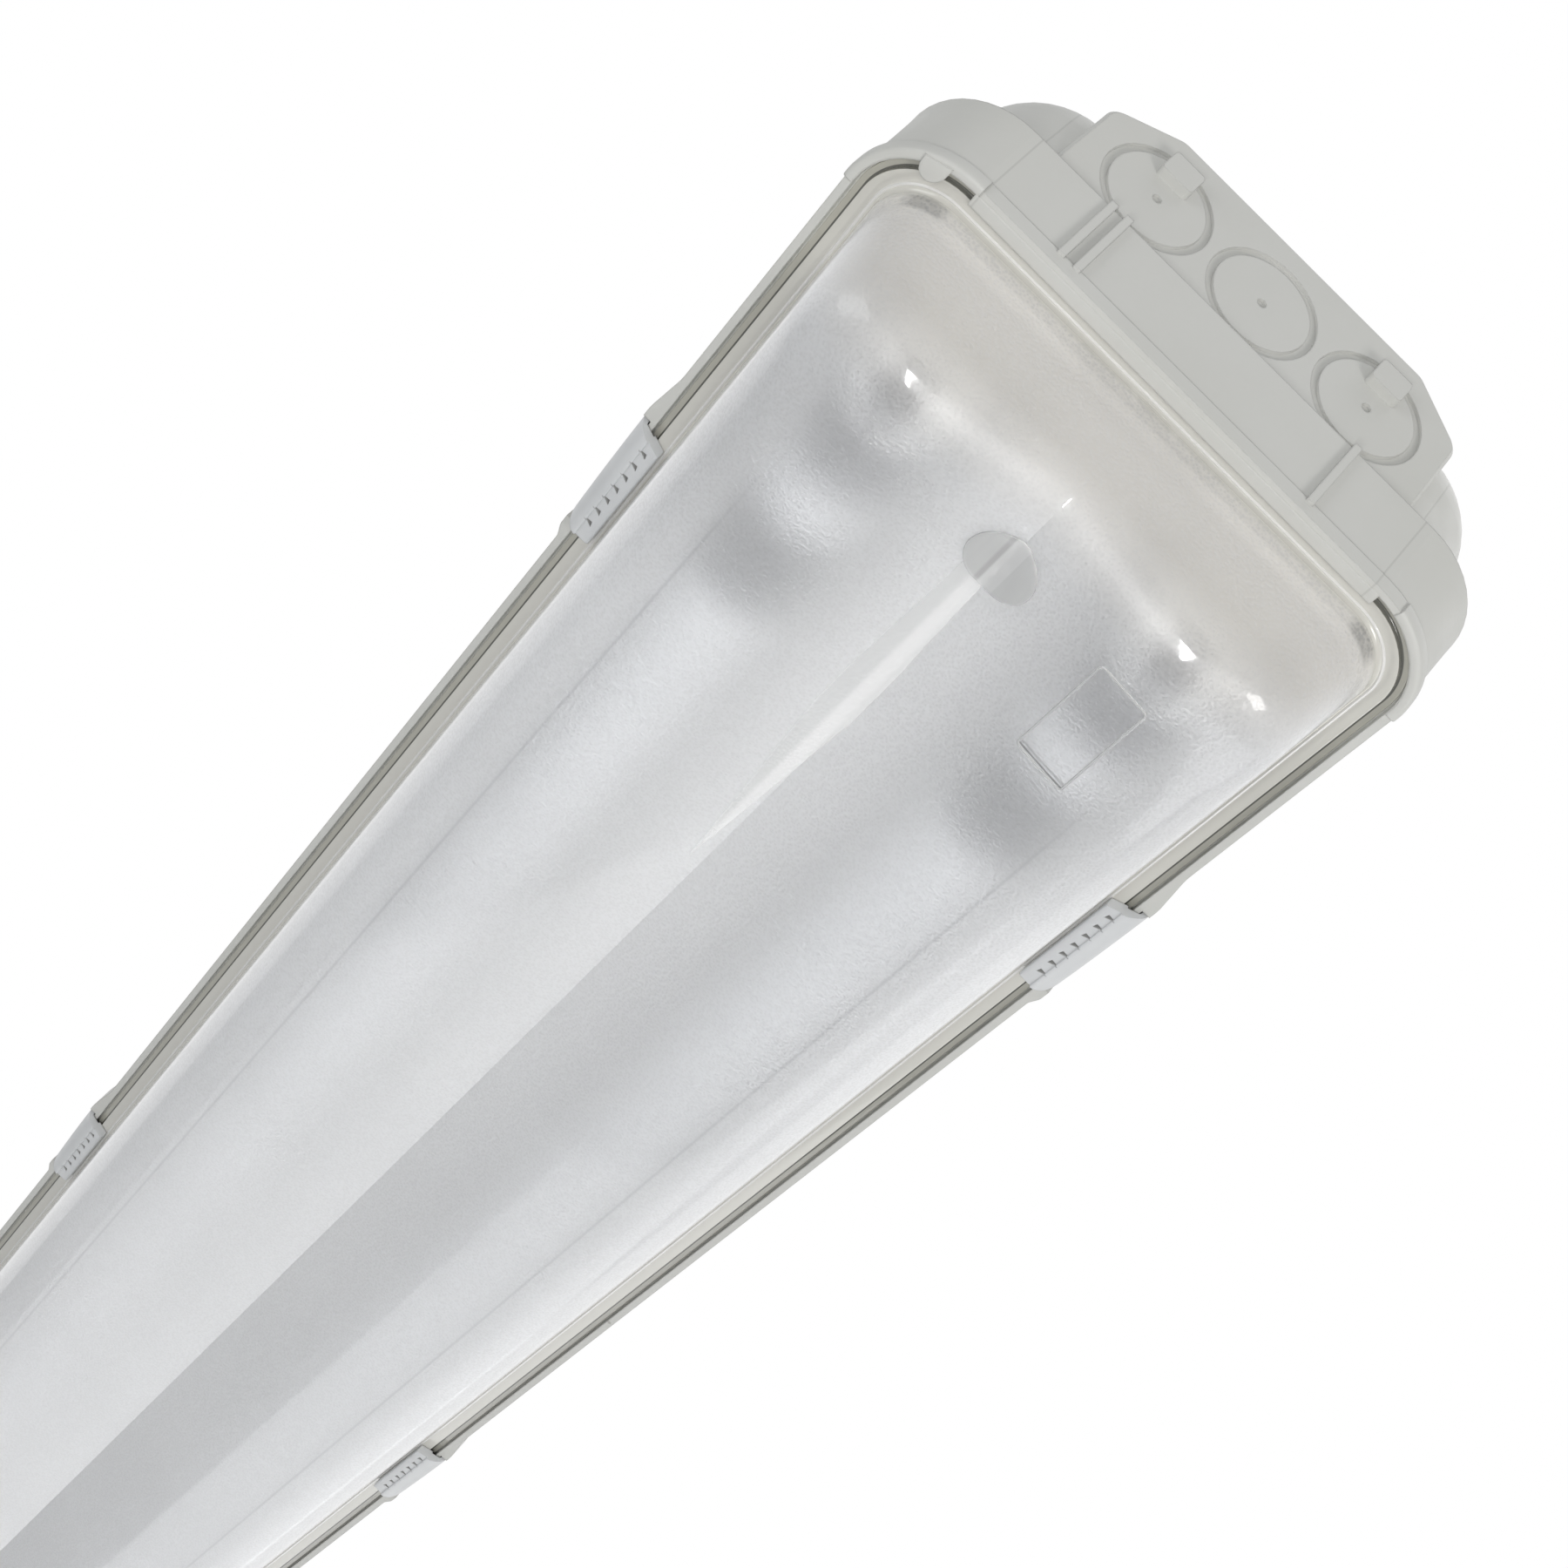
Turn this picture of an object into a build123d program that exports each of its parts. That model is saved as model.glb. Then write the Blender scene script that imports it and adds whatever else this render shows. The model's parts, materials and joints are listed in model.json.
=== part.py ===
from build123d import *
import math
import os

# Sealed twin-lamp ceiling fixture, millimetres.
# X runs along the fixture, Y across it, Z up. z = 0 is the ceiling; the diffuser faces down.

# Lamps, 26 mm tubes with two-pin caps
lamp_length = 1500.0
lamp_y = 41.0
lamp_drop = 14.0
tube_radius = 12.75
tube_glass = 0.8
cap_skin = 0.35
cap_length = 16.0
cap_end = 1.2
cap_chamfer = 0.9
pin_radius = 1.175
pin_length = 7.0
pin_half_spacing = 6.35

# Rim outline over the lip
lamp_end_room = 49.0
overall_width = 164.6
corner_radius = 23.0

# Housing
housing_depth = 62.0
pad_height = 3.0
pad_radius = 9.0
wall = 2.5
lip_depth = 3.0
lip_thickness = 2.0
lip_rise = 1.0
skirt_inset = 0.7
skirt_corner = 21.8
skirt_height = 23.0
skirt_flare = 1.0
shoulder_inset = 4.1
shoulder_radius = 27.6
shoulder_draft = 10.3
shoulder_fillet = 20.0
shoulder_inner_chamfer = 9.0

# End boss with the cable-entry blanks
boss_recess = 4.3
boss_length = 40.0
boss_base_half = 54.0
boss_side_half = 53.2
boss_side_height = 53.0
boss_top_half = 37.0
boss_top_height = 62.3
boss_corner = 5.0
boss_chamfer = 0.8
blank_pitch = 32.1
blank_height = 40.8
blank_ring_radius = 14.6
blank_disc_radius = 12.6
blank_groove_depth = 0.9
dimple_radius = 1.2
dimple_depth = 0.8
lug_width = 8.8
lug_height = 7.3
lug_proud = 3.0
lug_level = 50.2
lug_corner = 1.0

# Ribs on the end skirt, their places across the end
rib_places = (-37.2, -32.7, 36.0)
rib_width = 2.0
rib_proud = 0.9
rib_rise = 0.6

# Fixing holes through the back and their sealing washers
fixing_spacing_x = 1000.0
fixing_spacing_y = 60.0
fixing_hole_radius = 2.75
seal_radius = 8.0
seal_thickness = 2.5

# Rim channel, gasket and diffuser flange
channel_depth = 3.0
channel_floor = 2.0
channel_inner_inset = 11.0
channel_wall = 1.5
channel_wall_gap = 0.5
gasket_thickness = 2.2
gasket_side_gap = 0.1
flange_inset = 2.5
flange_thickness = 2.4
flange_gap = 0.2
tongue_inset = 6.0
tongue_width = 1.5

# Diffuser dome
dome_inset = 8.5
dome_depth = 44.0
dome_wall = 2.0
dome_draft = 8.0
dome_fillet = 15.0
valley_depth = 7.0
valley_half = 54.0
lobe_overrun = 0.05

# Side clips and the ears that carry them
clips_per_side = 4
clip_end_distance = 144.3
clip_length = 44.4
clip_wall = 2.0
clip_front_bulge = 1.8
clip_rear_bulge = 1.2
clip_crown = 0.25
clip_floor = 2.8
clip_barrel_radius = 4.5
clip_lip_gap = 0.4
hook_gap = 0.1
hook_tip_inset = 7.5
hook_edge_inset = 3.4
hinge_offset = 0.2
hinge_height = 2.6
hinge_pin_radius = 0.6
hinge_pin_length = 2.5
hinge_clearance = 0.05
hinge_barrel_radius = 0.95
ear_gap = 0.4
ear_flat = 4.0
ear_foot = 3.0
ear_front_length = 21.0
ear_front_blend = 30.0
ear_rear_length = 11.0
ear_rear_blend = 5.0
ear_height = 4.8
pocket_clearance = 0.35
grip_count = 7
grip_pitch = 5.2
grip_width = 1.8
grip_depth = 1.0

# Gear tray
tray_level = 6.0
tray_side_gap = 18.5
tray_end_gap = 18.0
tray_sheet = 0.8
tray_edge_height = 10.0
ridge_depth = 10.0
ridge_top_half = 22.0
ridge_floor_half = 17.0

# Tray posts and screws
post_radius = 4.5
post_x = 560.0
post_edge_gap = 9.8
screw_radius = 1.8
screw_head_radius = 4.0
screw_head_height = 2.4
screw_head_chamfer = 0.9
screw_depth = 12.0
thread_clearance = 0.05
sheet_hole_clearance = 0.3

# Rotary lampholders
holder_gap = 0.6
holder_depth = 17.0
holder_half_width = 13.0
holder_corner = 2.0
rotor_radius = 8.4
rotor_clearance = 0.06
rotor_depth = 9.0
rotor_end_gap = 0.3
rotor_slot_width = 2.8
rotor_slot_depth = 7.4
entry_slot_width = 3.4
entry_slot_depth = 8.0
neck_length = 9.0
neck_width = 14.0
neck_height = 4.0
neck_clearance = 0.2

# Ballast
ballast_x = 80.0
ballast_length = 360.0
ballast_half_width = 15.0
ballast_height = 22.0
ballast_edge = 2.0
ballast_tab_length = 14.0
ballast_tab_sheet = 1.0

# Terminal block and earth screw
terminal_gap = 50.0
terminal_length = 40.0
terminal_half_width = 11.0
terminal_height = 16.0
terminal_pitch = 7.0
terminal_base_height = 4.0
terminal_pole_width = 6.0
terminal_screw_radius = 1.6
terminal_screw_height = 4.0
terminal_screw_inset = 8.0
earth_distance = 45.0

# Wiring
wire_radius = 1.2
wire_sides = 6
wire_lane_gap = 6.0
wire_start_step = 8.0
wire_bend = 8.0

# Small round pieces out of sight have this many sides, and round cuts for them alike
small_sides = 8
head_sides = 12

# Cuts run past the faces that they open by this much
overrun = 1.0

# Derived places
overall_length = lamp_length + 2 * lamp_end_room
half_length = overall_length / 2
half_width = overall_width / 2
rim_z = -(pad_height + housing_depth)
back_inner_z = -pad_height - wall
flange_top = rim_z - flange_gap
flange_bottom = flange_top - flange_thickness
crest_z = rim_z - dome_depth
boss_face_x = half_length - boss_recess
hinge_y = half_width + hinge_offset
hinge_z = rim_z + hinge_height
clip_outer = half_width + clip_front_bulge
clip_rear = half_width + clip_rear_bulge
clip_inner = clip_outer - clip_wall
clip_floor_top = rim_z - lip_depth - clip_lip_gap
clip_bottom = clip_floor_top - clip_floor
hook_reach = half_width - hook_tip_inset
hook_inner_edge = half_width - hook_edge_inset
hook_top = flange_bottom - hook_gap
tray_half_width = half_width - tray_side_gap
tray_half_length = half_length - tray_end_gap
tray_under = rim_z + tray_level
tray_top = tray_under + tray_sheet
ridge_floor_top = tray_top - ridge_depth
cap_radius = tube_radius + cap_skin
lamp_z = rim_z - lamp_drop
lamp_half = lamp_length / 2
holder_front = lamp_half + holder_gap
ballast_end = ballast_x + ballast_length / 2
terminal_x = ballast_end + terminal_gap + terminal_length / 2
earth_x = terminal_x + terminal_length / 2 + earth_distance
clip_pitch = (overall_length - 2 * clip_end_distance) / (clips_per_side - 1)
clip_places = [half_length - clip_end_distance - i * clip_pitch for i in range(clips_per_side)]
post_y = tray_half_width - post_edge_gap
wire_lane = lamp_y - neck_width / 2 - wire_lane_gap
post_places = [(x, y) for x in (-post_x, post_x) for y in (-post_y, post_y)]
fixing_places = [(x, y) for x in (-fixing_spacing_x / 2, fixing_spacing_x / 2)
                 for y in (-fixing_spacing_y / 2, fixing_spacing_y / 2)]


def outline(inset, radius=None):
    """Rim outline drawn in by inset, with its corner radius drawn in alike unless one is given."""
    corner = corner_radius - inset if radius is None else radius
    return RectangleRounded(overall_length - 2 * inset, overall_width - 2 * inset, corner)


def skirt_outline(inset):
    """Outline of the skirt's foot, squarer at the corners than the rim, drawn in by inset."""
    return outline(skirt_inset + inset, skirt_corner - inset)


def ring(outer, inner, bottom, height):
    """Upright band between two outlines."""
    return extrude(Pos(0, 0, bottom) * (outer - inner), amount=height)


def box(x, y, z):
    """Box between pairs of limits."""
    return Pos(sum(x) / 2, sum(y) / 2, sum(z) / 2) * Box(x[1] - x[0], y[1] - y[0], z[1] - z[0])


def along_x(sketch, start, end):
    """Sketch in Y and Z drawn out along X from start to end."""
    return extrude(Plane.YZ.offset(start) * sketch, amount=end - start)


def upright(radius, x, y, bottom, top, sides=0):
    """Upright bar, round unless its number of sides is given."""
    if sides:
        return extrude(Pos(x, y, bottom) * RegularPolygon(radius, sides), amount=top - bottom)
    return Pos(x, y, (bottom + top) / 2) * Cylinder(radius, top - bottom)


def at_both_ends(solid):
    """The solid at the +X end and again at the -X end, turned half round."""
    return [solid, Rot(0, 0, 180) * solid]


def skirt(inward, height):
    """Upright part of the housing's wall, flared a little towards the back, drawn in by inward."""
    return extrude(Pos(0, 0, rim_z) * skirt_outline(inward), amount=height, taper=-skirt_flare)


def shoulder(inward):
    """Tapered back of the housing, drawn in by inward from its outside."""
    base = outline(shoulder_inset + inward, shoulder_radius - inward)
    base = Pos(0, 0, rim_z + skirt_height - inward) * base
    return extrude(base, amount=housing_depth - skirt_height, taper=shoulder_draft)


def boss(inward):
    """End boss, drawn in by inward from its outside."""
    bottom = rim_z + skirt_height - wall
    half = [(boss_base_half, bottom), (boss_side_half, rim_z + boss_side_height),
            (boss_top_half, rim_z + boss_top_height)]
    points = half + [(-y, z) for y, z in reversed(half)]
    face = make_face(Polyline(*points, close=True))
    face = fillet(face.vertices().group_by(Axis.Y)[1:], boss_corner)
    if inward:
        face = offset(face, amount=-inward)
    return along_x(face, boss_face_x - boss_length, boss_face_x - inward)


def end_blank(y):
    """Cut for one cable-entry blank: a round groove and a centre dimple."""
    level = rim_z + blank_height
    groove = Pos(y, level) * (Circle(blank_ring_radius) - Circle(blank_disc_radius))
    dimple = Pos(y, level) * RegularPolygon(dimple_radius, small_sides)
    end = boss_face_x + overrun
    return [along_x(groove, boss_face_x - blank_groove_depth, end),
            along_x(dimple, boss_face_x - dimple_depth, end)]


def end_lug(y):
    """Small rounded lug over an outer blank."""
    sketch = Pos(y, rim_z + lug_level) * RectangleRounded(lug_width, lug_height, lug_corner)
    return along_x(sketch, boss_face_x - wall / 2, boss_face_x + lug_proud)


def end_rib(y):
    """Thin upright rib on the end skirt."""
    x = (half_length - skirt_inset - wall / 2, half_length + rib_proud)
    return box(x, (y - rib_width / 2, y + rib_width / 2), (rim_z, rim_z + skirt_height + rib_rise))


def ear(x, side, way):
    """Flare of the rim lip beside a clip, longer at the clip's front."""
    length, blend = (ear_front_length, ear_front_blend) if way > 0 else (ear_rear_length, ear_rear_blend)
    crest = clip_outer if way > 0 else clip_rear
    start = clip_length / 2 + ear_gap
    root = half_width - lip_thickness
    end = start + length
    bends = [(start + ear_flat, crest), (end - ear_foot, half_width)]
    points = [(start, root), (start, crest), *bends, (end, half_width), (end, root)]
    face = make_face(Polyline(*points, close=True))
    face = fillet([face.vertices().sort_by_distance((*bend, 0))[0] for bend in bends], blend)
    flare = extrude(Pos(0, 0, rim_z - lip_depth) * face, amount=lip_depth + ear_height)
    if way < 0:
        flare = mirror(flare, Plane.YZ)
    if side < 0:
        flare = mirror(flare, Plane.XZ)
    return Pos(x, 0, 0) * flare


def clip_pocket(x, side):
    """Room for a clip: a recess in the skirt round its hinge, and a thinner lip behind its wall."""
    reach = clip_length / 2 + ear_gap
    swing = clip_outer - hinge_y + pocket_clearance
    cuts = []
    for inner, low, high in ((hinge_y - swing, rim_z, hinge_z + swing),
                             (clip_inner - pocket_clearance, rim_z - lip_depth - overrun, rim_z + overrun)):
        y = sorted((side * inner, side * (half_width + overrun)))
        cuts.append(box((x - reach, x + reach), y, (low, high)))
    return cuts


def hinge_bore(x, side):
    """Bore through both ears for a clip's hinge pins."""
    span = clip_length + 4 * ear_gap + 2 * hinge_pin_length
    bore = Cylinder(hinge_pin_radius + hinge_clearance, span, rotation=(0, 90, 0))
    return Pos(x, side * hinge_y, hinge_z) * bore


def shell():
    """Thin canopy of the housing: skirt, rounded shoulder and end bosses, open below."""
    back = shoulder(0)
    back = fillet(back.edges().group_by(Axis.Z)[-1], shoulder_fillet)
    end = boss(0)
    end = chamfer(end.faces().sort_by(Axis.X)[-1].edges(), boss_chamfer)
    body = skirt(0, skirt_height) + back + at_both_ends(end)
    room = shoulder(wall)
    room = chamfer(room.edges().group_by(Axis.Z)[-1], shoulder_inner_chamfer)
    return body - [skirt(wall, skirt_height - wall), room] - at_both_ends(boss(wall))


def rim():
    """Lip, gasket channel and its inner wall, all round the opening."""
    lip = ring(outline(0), outline(lip_thickness), rim_z - lip_depth, lip_depth + lip_rise)
    floor_level = rim_z + channel_depth
    inner = outline(channel_inner_inset)
    floor = ring(skirt_outline(wall / 2), inner, floor_level, channel_floor)
    guard_level = rim_z + channel_wall_gap
    guard = ring(outline(channel_inner_inset - channel_wall), inner, guard_level, floor_level - guard_level)
    return [lip, floor, guard]


def housing():
    """Canopy with rim, end blanks, lugs and ribs, clip ears, screw posts and fixing pads."""
    body = shell() + rim()
    post_top = tray_top + screw_depth
    thread = screw_radius + thread_clearance
    root = back_inner_z + wall / 2
    body += [upright(post_radius, x, y, tray_top, root, head_sides) for x, y in post_places]
    body -= [upright(thread, x, y, tray_top, post_top, small_sides) for x, y in post_places]
    body += [upright(pad_radius, x, y, -pad_height - wall / 2, 0) for x, y in fixing_places]
    body -= [upright(fixing_hole_radius, x, y, back_inner_z - wall, overrun) for x, y in fixing_places]
    for y in (-blank_pitch, 0, blank_pitch):
        for cut in end_blank(y):
            body -= at_both_ends(cut)
    for y in (-blank_pitch, blank_pitch):
        body += at_both_ends(end_lug(y))
    for y in rib_places:
        body += at_both_ends(end_rib(y))
    for x in clip_places:
        body -= clip_pocket(x, -1) + clip_pocket(x, 1)
        body += [ear(x, side, way) for side in (-1, 1) for way in (-1, 1)]
        body -= [hinge_bore(x, side) for side in (-1, 1)]
    return body


def fixing_seals():
    """Rubber washers that seal the fixing holes from inside."""
    bottom = back_inner_z - seal_thickness
    top = back_inner_z + overrun
    return [upright(seal_radius, x, y, bottom, back_inner_z, 2 * head_sides)
            - upright(fixing_hole_radius, x, y, bottom - overrun, top, head_sides)
            for x, y in fixing_places]


def gasket():
    """Foam gasket in the rim channel."""
    outer = skirt_outline(wall + gasket_side_gap)
    inner = outline(channel_inner_inset - channel_wall - gasket_side_gap)
    return ring(outer, inner, rim_z + channel_depth - gasket_thickness, gasket_thickness)


def dome(inward):
    """Drafted round-cornered bowl with two lobes and a valley between them, drawn in by inward."""
    crest = crest_z + inward
    base = Pos(0, 0, flange_top) * outline(dome_inset + inward)
    bowl = extrude(base, amount=flange_top - crest, dir=(0, 0, -1), taper=dome_draft)
    bowl = fillet(bowl.edges().group_by(Axis.Z)[0], dome_fillet - inward)
    low = crest - lobe_overrun
    rise = valley_depth + lobe_overrun
    radius = (valley_half ** 2 + rise ** 2) / (2 * rise)
    middle = low + radius - math.sqrt(radius ** 2 - (valley_half / 2) ** 2)
    lobes = [ThreePointArc((side * valley_half, low), (side * valley_half / 2, middle), (0, low + rise))
             for side in (-1, 1)]
    under = low - overrun
    floor = Polyline((-valley_half, low), (-valley_half, under), (valley_half, under), (valley_half, low))
    return bowl - along_x(make_face([*lobes, floor]), -half_length, half_length)


def diffuser():
    """Clear bowl with its flange and the tongue that presses into the gasket."""
    flange = extrude(Pos(0, 0, flange_bottom) * outline(flange_inset), amount=flange_thickness)
    tongue_height = flange_gap + channel_depth - gasket_thickness
    tongue = ring(outline(tongue_inset), outline(tongue_inset + tongue_width), flange_top, tongue_height)
    return flange + dome(0) + tongue - dome(dome_wall)


def clip(x, side):
    """C-shaped clip: hinge barrel and pins above, wall round the lip, hook under the flange."""
    start = -clip_length / 2
    barrel = Pos(hinge_y, hinge_z) * Circle(hinge_barrel_radius)
    wall_face = Pos((clip_inner + clip_outer) / 2, (hinge_z + clip_bottom) / 2)
    wall_face *= Rectangle(clip_wall, hinge_z - clip_bottom)
    floor_mid = Pos((hook_reach + clip_outer) / 2, (clip_bottom + clip_floor_top) / 2)
    floor_face = floor_mid * Rectangle(clip_outer - hook_reach, clip_floor)
    hook_mid = Pos((hook_reach + hook_inner_edge) / 2, (hook_top + clip_bottom) / 2)
    hook_face = hook_mid * Rectangle(hook_inner_edge - hook_reach, hook_top - clip_bottom)
    section = barrel + wall_face + floor_face + hook_face
    corner = section.vertices().sort_by_distance((clip_outer, clip_bottom, 0))[0]
    section = fillet(corner, clip_barrel_radius)
    body = along_x(section, start, -start)
    inside = hook_reach - overrun
    middle = (clip_outer + clip_rear) / 2 + clip_crown
    back = Polyline((start, clip_rear), (start, inside), (-start, inside), (-start, clip_outer))
    front = ThreePointArc((-start, clip_outer), (0, middle), (start, clip_rear))
    low = clip_bottom - overrun
    body = body & extrude(Pos(0, 0, low) * make_face([back, front]), amount=hinge_z - low + clip_wall)
    band = hook_inner_edge - hook_reach
    first = -(grip_count - 1) * grip_pitch / 2
    bars = [first + i * grip_pitch for i in range(grip_count)]
    sides = [v for bar in bars for v in (bar - grip_width / 2, bar + grip_width / 2)]
    edges = [start - overrun, *sides, overrun - start]
    tip = hook_reach - overrun
    for low, high in zip(edges[0::2], edges[1::2]):
        notch = Polyline((hook_inner_edge, clip_bottom), (tip, clip_bottom),
                         (tip, clip_bottom + grip_depth * (band + overrun) / band), close=True)
        body -= along_x(make_face(notch), low, high)
    span = clip_length + 2 * hinge_pin_length
    body += Pos(0, hinge_y, hinge_z) * Cylinder(hinge_pin_radius, span, rotation=(0, 90, 0))
    if side < 0:
        body = mirror(body, Plane.XZ)
    return Pos(x, 0, 0) * body


def tray():
    """White sheet-steel tray: wings with upturned edges and a channel pressed down between the lamps."""
    under = [(tray_half_width, tray_under), (ridge_top_half, tray_under)]
    under.append((ridge_floor_half, tray_under - ridge_depth))
    under = under + [(-y, z) for y, z in reversed(under)]
    top = [(y, z + tray_sheet) for y, z in reversed(under)]
    body = along_x(make_face(Polyline(*under, *top, close=True)), -tray_half_length, tray_half_length)
    for side in (-1, 1):
        y = sorted((side * tray_half_width, side * (tray_half_width - tray_sheet)))
        body += box((-tray_half_length, tray_half_length), y, (tray_under, tray_top + tray_edge_height))
    low = tray_under - ridge_depth - overrun
    high = tray_top + overrun
    hole = screw_radius + sheet_hole_clearance
    body -= [upright(hole, x, y, low, high, small_sides) for x, y in post_places]
    body -= [upright(hole, x, 0, low, high, small_sides) for x in ballast_screw_places() + [earth_x]]
    for x in holder_neck_places():
        for y in (-lamp_y, lamp_y):
            half = neck_width / 2 + neck_clearance
            reach = neck_length / 2 + neck_clearance
            body -= box((x - reach, x + reach), (y - half, y + half), (tray_under - overrun, high))
    return body


def holder_neck_places():
    """Where the lampholders' necks pass through the tray, along X."""
    middle = holder_front + holder_depth / 2
    return [-middle, middle]


def ballast_screw_places():
    """Where the ballast's two screws go, along X."""
    reach = ballast_length / 2 + ballast_tab_length / 2
    return [ballast_x - reach, ballast_x + reach]


def screw(x, y, seat, point_up=True, shank=screw_depth):
    """Pan-head screw seated at a level, pointing up or down."""
    way = 1 if point_up else -1
    head = sorted((seat, seat - way * screw_head_height))
    stem = sorted((seat, seat + way * shank))
    top = upright(screw_head_radius, x, y, *head, head_sides)
    crown = top.faces().sort_by(Axis.Z)[0 if point_up else -1]
    return chamfer(crown.edges(), screw_head_chamfer) + upright(screw_radius, x, y, *stem, small_sides)


def lampholder(end, side):
    """Tombstone-shaped holder with a round seat for its rotor and a slot for the lamp pins."""
    y = side * lamp_y
    block = Pos(y, (lamp_z + tray_under) / 2) * Rectangle(2 * holder_half_width, tray_under - lamp_z)
    profile = block + Pos(y, lamp_z) * Circle(holder_half_width)
    body = along_x(profile, holder_front, holder_front + holder_depth)
    back = body.faces().sort_by(Axis.X)[-1]
    body = chamfer(back.edges(), holder_corner)
    seat = Pos(y, lamp_z) * Circle(rotor_radius + rotor_clearance)
    body -= along_x(seat, holder_front - overrun, holder_front + rotor_depth + rotor_end_gap)
    half = entry_slot_width / 2
    drop = (lamp_z - holder_half_width - overrun, lamp_z)
    body -= box((holder_front - overrun, holder_front + entry_slot_depth), (y - half, y + half), drop)
    x = holder_neck_places()[1]
    neck = ((x - neck_length / 2, x + neck_length / 2), (y - neck_width / 2, y + neck_width / 2))
    body += box(*neck, (tray_under - overrun, tray_top + neck_height))
    return body if end > 0 else mirror(body, Plane.YZ)


def rotor(end, side):
    """Rotor that turns with the lamp's pins in its slot."""
    y = side * lamp_y
    body = along_x(Pos(y, lamp_z) * Circle(rotor_radius), holder_front, holder_front + rotor_depth)
    half = rotor_slot_width / 2
    reach = rotor_radius + overrun
    slot_depth = (holder_front - overrun, holder_front + rotor_slot_depth)
    body -= box(slot_depth, (y - reach, y + reach), (lamp_z - half, lamp_z + half))
    return body if end > 0 else mirror(body, Plane.YZ)


def tube(side):
    """Glass tube, open at its ends under the caps."""
    face = Pos(side * lamp_y, lamp_z) * (Circle(tube_radius) - Circle(tube_radius - tube_glass))
    return along_x(face, -lamp_half + cap_end, lamp_half - cap_end)


def cap(end, side):
    """Metal end cap, a cup over the end of the tube."""
    centre = Pos(side * lamp_y, lamp_z)
    cup = along_x(centre * Circle(cap_radius), lamp_half - cap_length, lamp_half)
    cup = chamfer(cup.faces().sort_by(Axis.X)[-1].edges(), cap_chamfer)
    cup -= along_x(centre * Circle(tube_radius), lamp_half - cap_length - overrun, lamp_half - cap_end)
    return cup if end > 0 else mirror(cup, Plane.YZ)


def lamp_pins(side):
    """Two contact pins at each end of a lamp."""
    pins = []
    for way in (-1, 1):
        centre = Pos(side * lamp_y + way * pin_half_spacing, lamp_z)
        pin = along_x(centre * RegularPolygon(pin_radius, small_sides), lamp_half, lamp_half + pin_length)
        pins += [pin, mirror(pin, Plane.YZ)]
    return pins


def ballast():
    """Long electronic ballast in the tray's channel, with a fixing tab at each end."""
    low = ridge_floor_top
    ends = (ballast_x - ballast_length / 2, ballast_x + ballast_length / 2)
    across = (-ballast_half_width, ballast_half_width)
    body = box(ends, across, (low, low + ballast_height))
    body = chamfer(body.edges().filter_by(Axis.X).group_by(Axis.Z)[-1], ballast_edge)
    tab = (ends[0] - ballast_tab_length, ends[1] + ballast_tab_length)
    body += box(tab, across, (low, low + ballast_tab_sheet))
    hole = screw_radius + sheet_hole_clearance
    top = low + ballast_tab_sheet + overrun
    return body - [upright(hole, x, 0, low - overrun, top, small_sides) for x in ballast_screw_places()]


def ballast_screws():
    """Screws through the ballast's tabs into the tray."""
    seat = ridge_floor_top + ballast_tab_sheet
    return [screw(x, 0, seat, False, ballast_tab_sheet + tray_sheet) for x in ballast_screw_places()]


def pole_places():
    """Terminal poles across the block."""
    return [-terminal_pitch, 0, terminal_pitch]


def terminal_screw_places():
    """Clamp screws of the terminal block, two on each pole."""
    reach = terminal_length / 2 - terminal_screw_inset
    return [(terminal_x + way * reach, y) for way in (-1, 1) for y in pole_places()]


def terminal_block():
    """Three-pole terminal block: a base with one raised body for each pole."""
    low = ridge_floor_top
    x = (terminal_x - terminal_length / 2, terminal_x + terminal_length / 2)
    body = box(x, (-terminal_half_width, terminal_half_width), (low, low + terminal_base_height))
    half = terminal_pole_width / 2
    body += [box(x, (y - half, y + half), (low, low + terminal_height)) for y in pole_places()]
    top = low + terminal_height
    low = top - terminal_screw_height
    return body - [upright(terminal_screw_radius, px, py, low, top + overrun, small_sides)
                   for px, py in terminal_screw_places()]


def terminal_screws():
    """Clamp screws seated in the terminal block."""
    top = ridge_floor_top + terminal_height
    low = top - terminal_screw_height
    return [upright(terminal_screw_radius, x, y, low, top - wire_radius, small_sides)
            for x, y in terminal_screw_places()]


def wire(path):
    """Wire along a path."""
    return sweep(Plane(path @ 0, z_dir=path % 0) * RegularPolygon(wire_radius, wire_sides), path=path)


def mains_wire(y):
    """Straight wire from the terminal block to the ballast's end."""
    level = ridge_floor_top + terminal_height / 2
    return wire(Line((ballast_end, y, level), (terminal_x - terminal_length / 2, y, level)))


def earth_wire():
    """Wire from the terminal block down to the earth screw's head."""
    start = terminal_x + terminal_length / 2
    level = ridge_floor_top + terminal_height / 2
    low = ridge_floor_top + wire_radius
    y = -terminal_pitch
    middle = (start + earth_x) / 2 - wire_bend / 2
    path = FilletPolyline((start, y, level), (middle - wire_bend / 2, y, level),
                          (middle + wire_bend, y, low), (earth_x, y, low), radius=wire_bend)
    tail = box((earth_x - wire_radius, earth_x + wire_radius), (y, -screw_head_radius),
               (ridge_floor_top, ridge_floor_top + 2 * wire_radius))
    return wire(path) + tail


def lamp_wire(end, side):
    """Wire on the tray from the ballast's side to one lampholder's neck."""
    level = tray_top + wire_radius
    x = ballast_x - ballast_length / 2 + 2 * wire_start_step + end * wire_start_step
    neck = holder_neck_places()[0 if end < 0 else 1]
    y = [side * v for v in (ballast_half_width, wire_lane, lamp_y - neck_width / 2)]
    path = FilletPolyline((x, y[0], level), (x, y[1], level), (neck, y[1], level), (neck, y[2], level),
                          radius=(wire_bend, wire_bend / 2))
    return wire(path)


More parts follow.
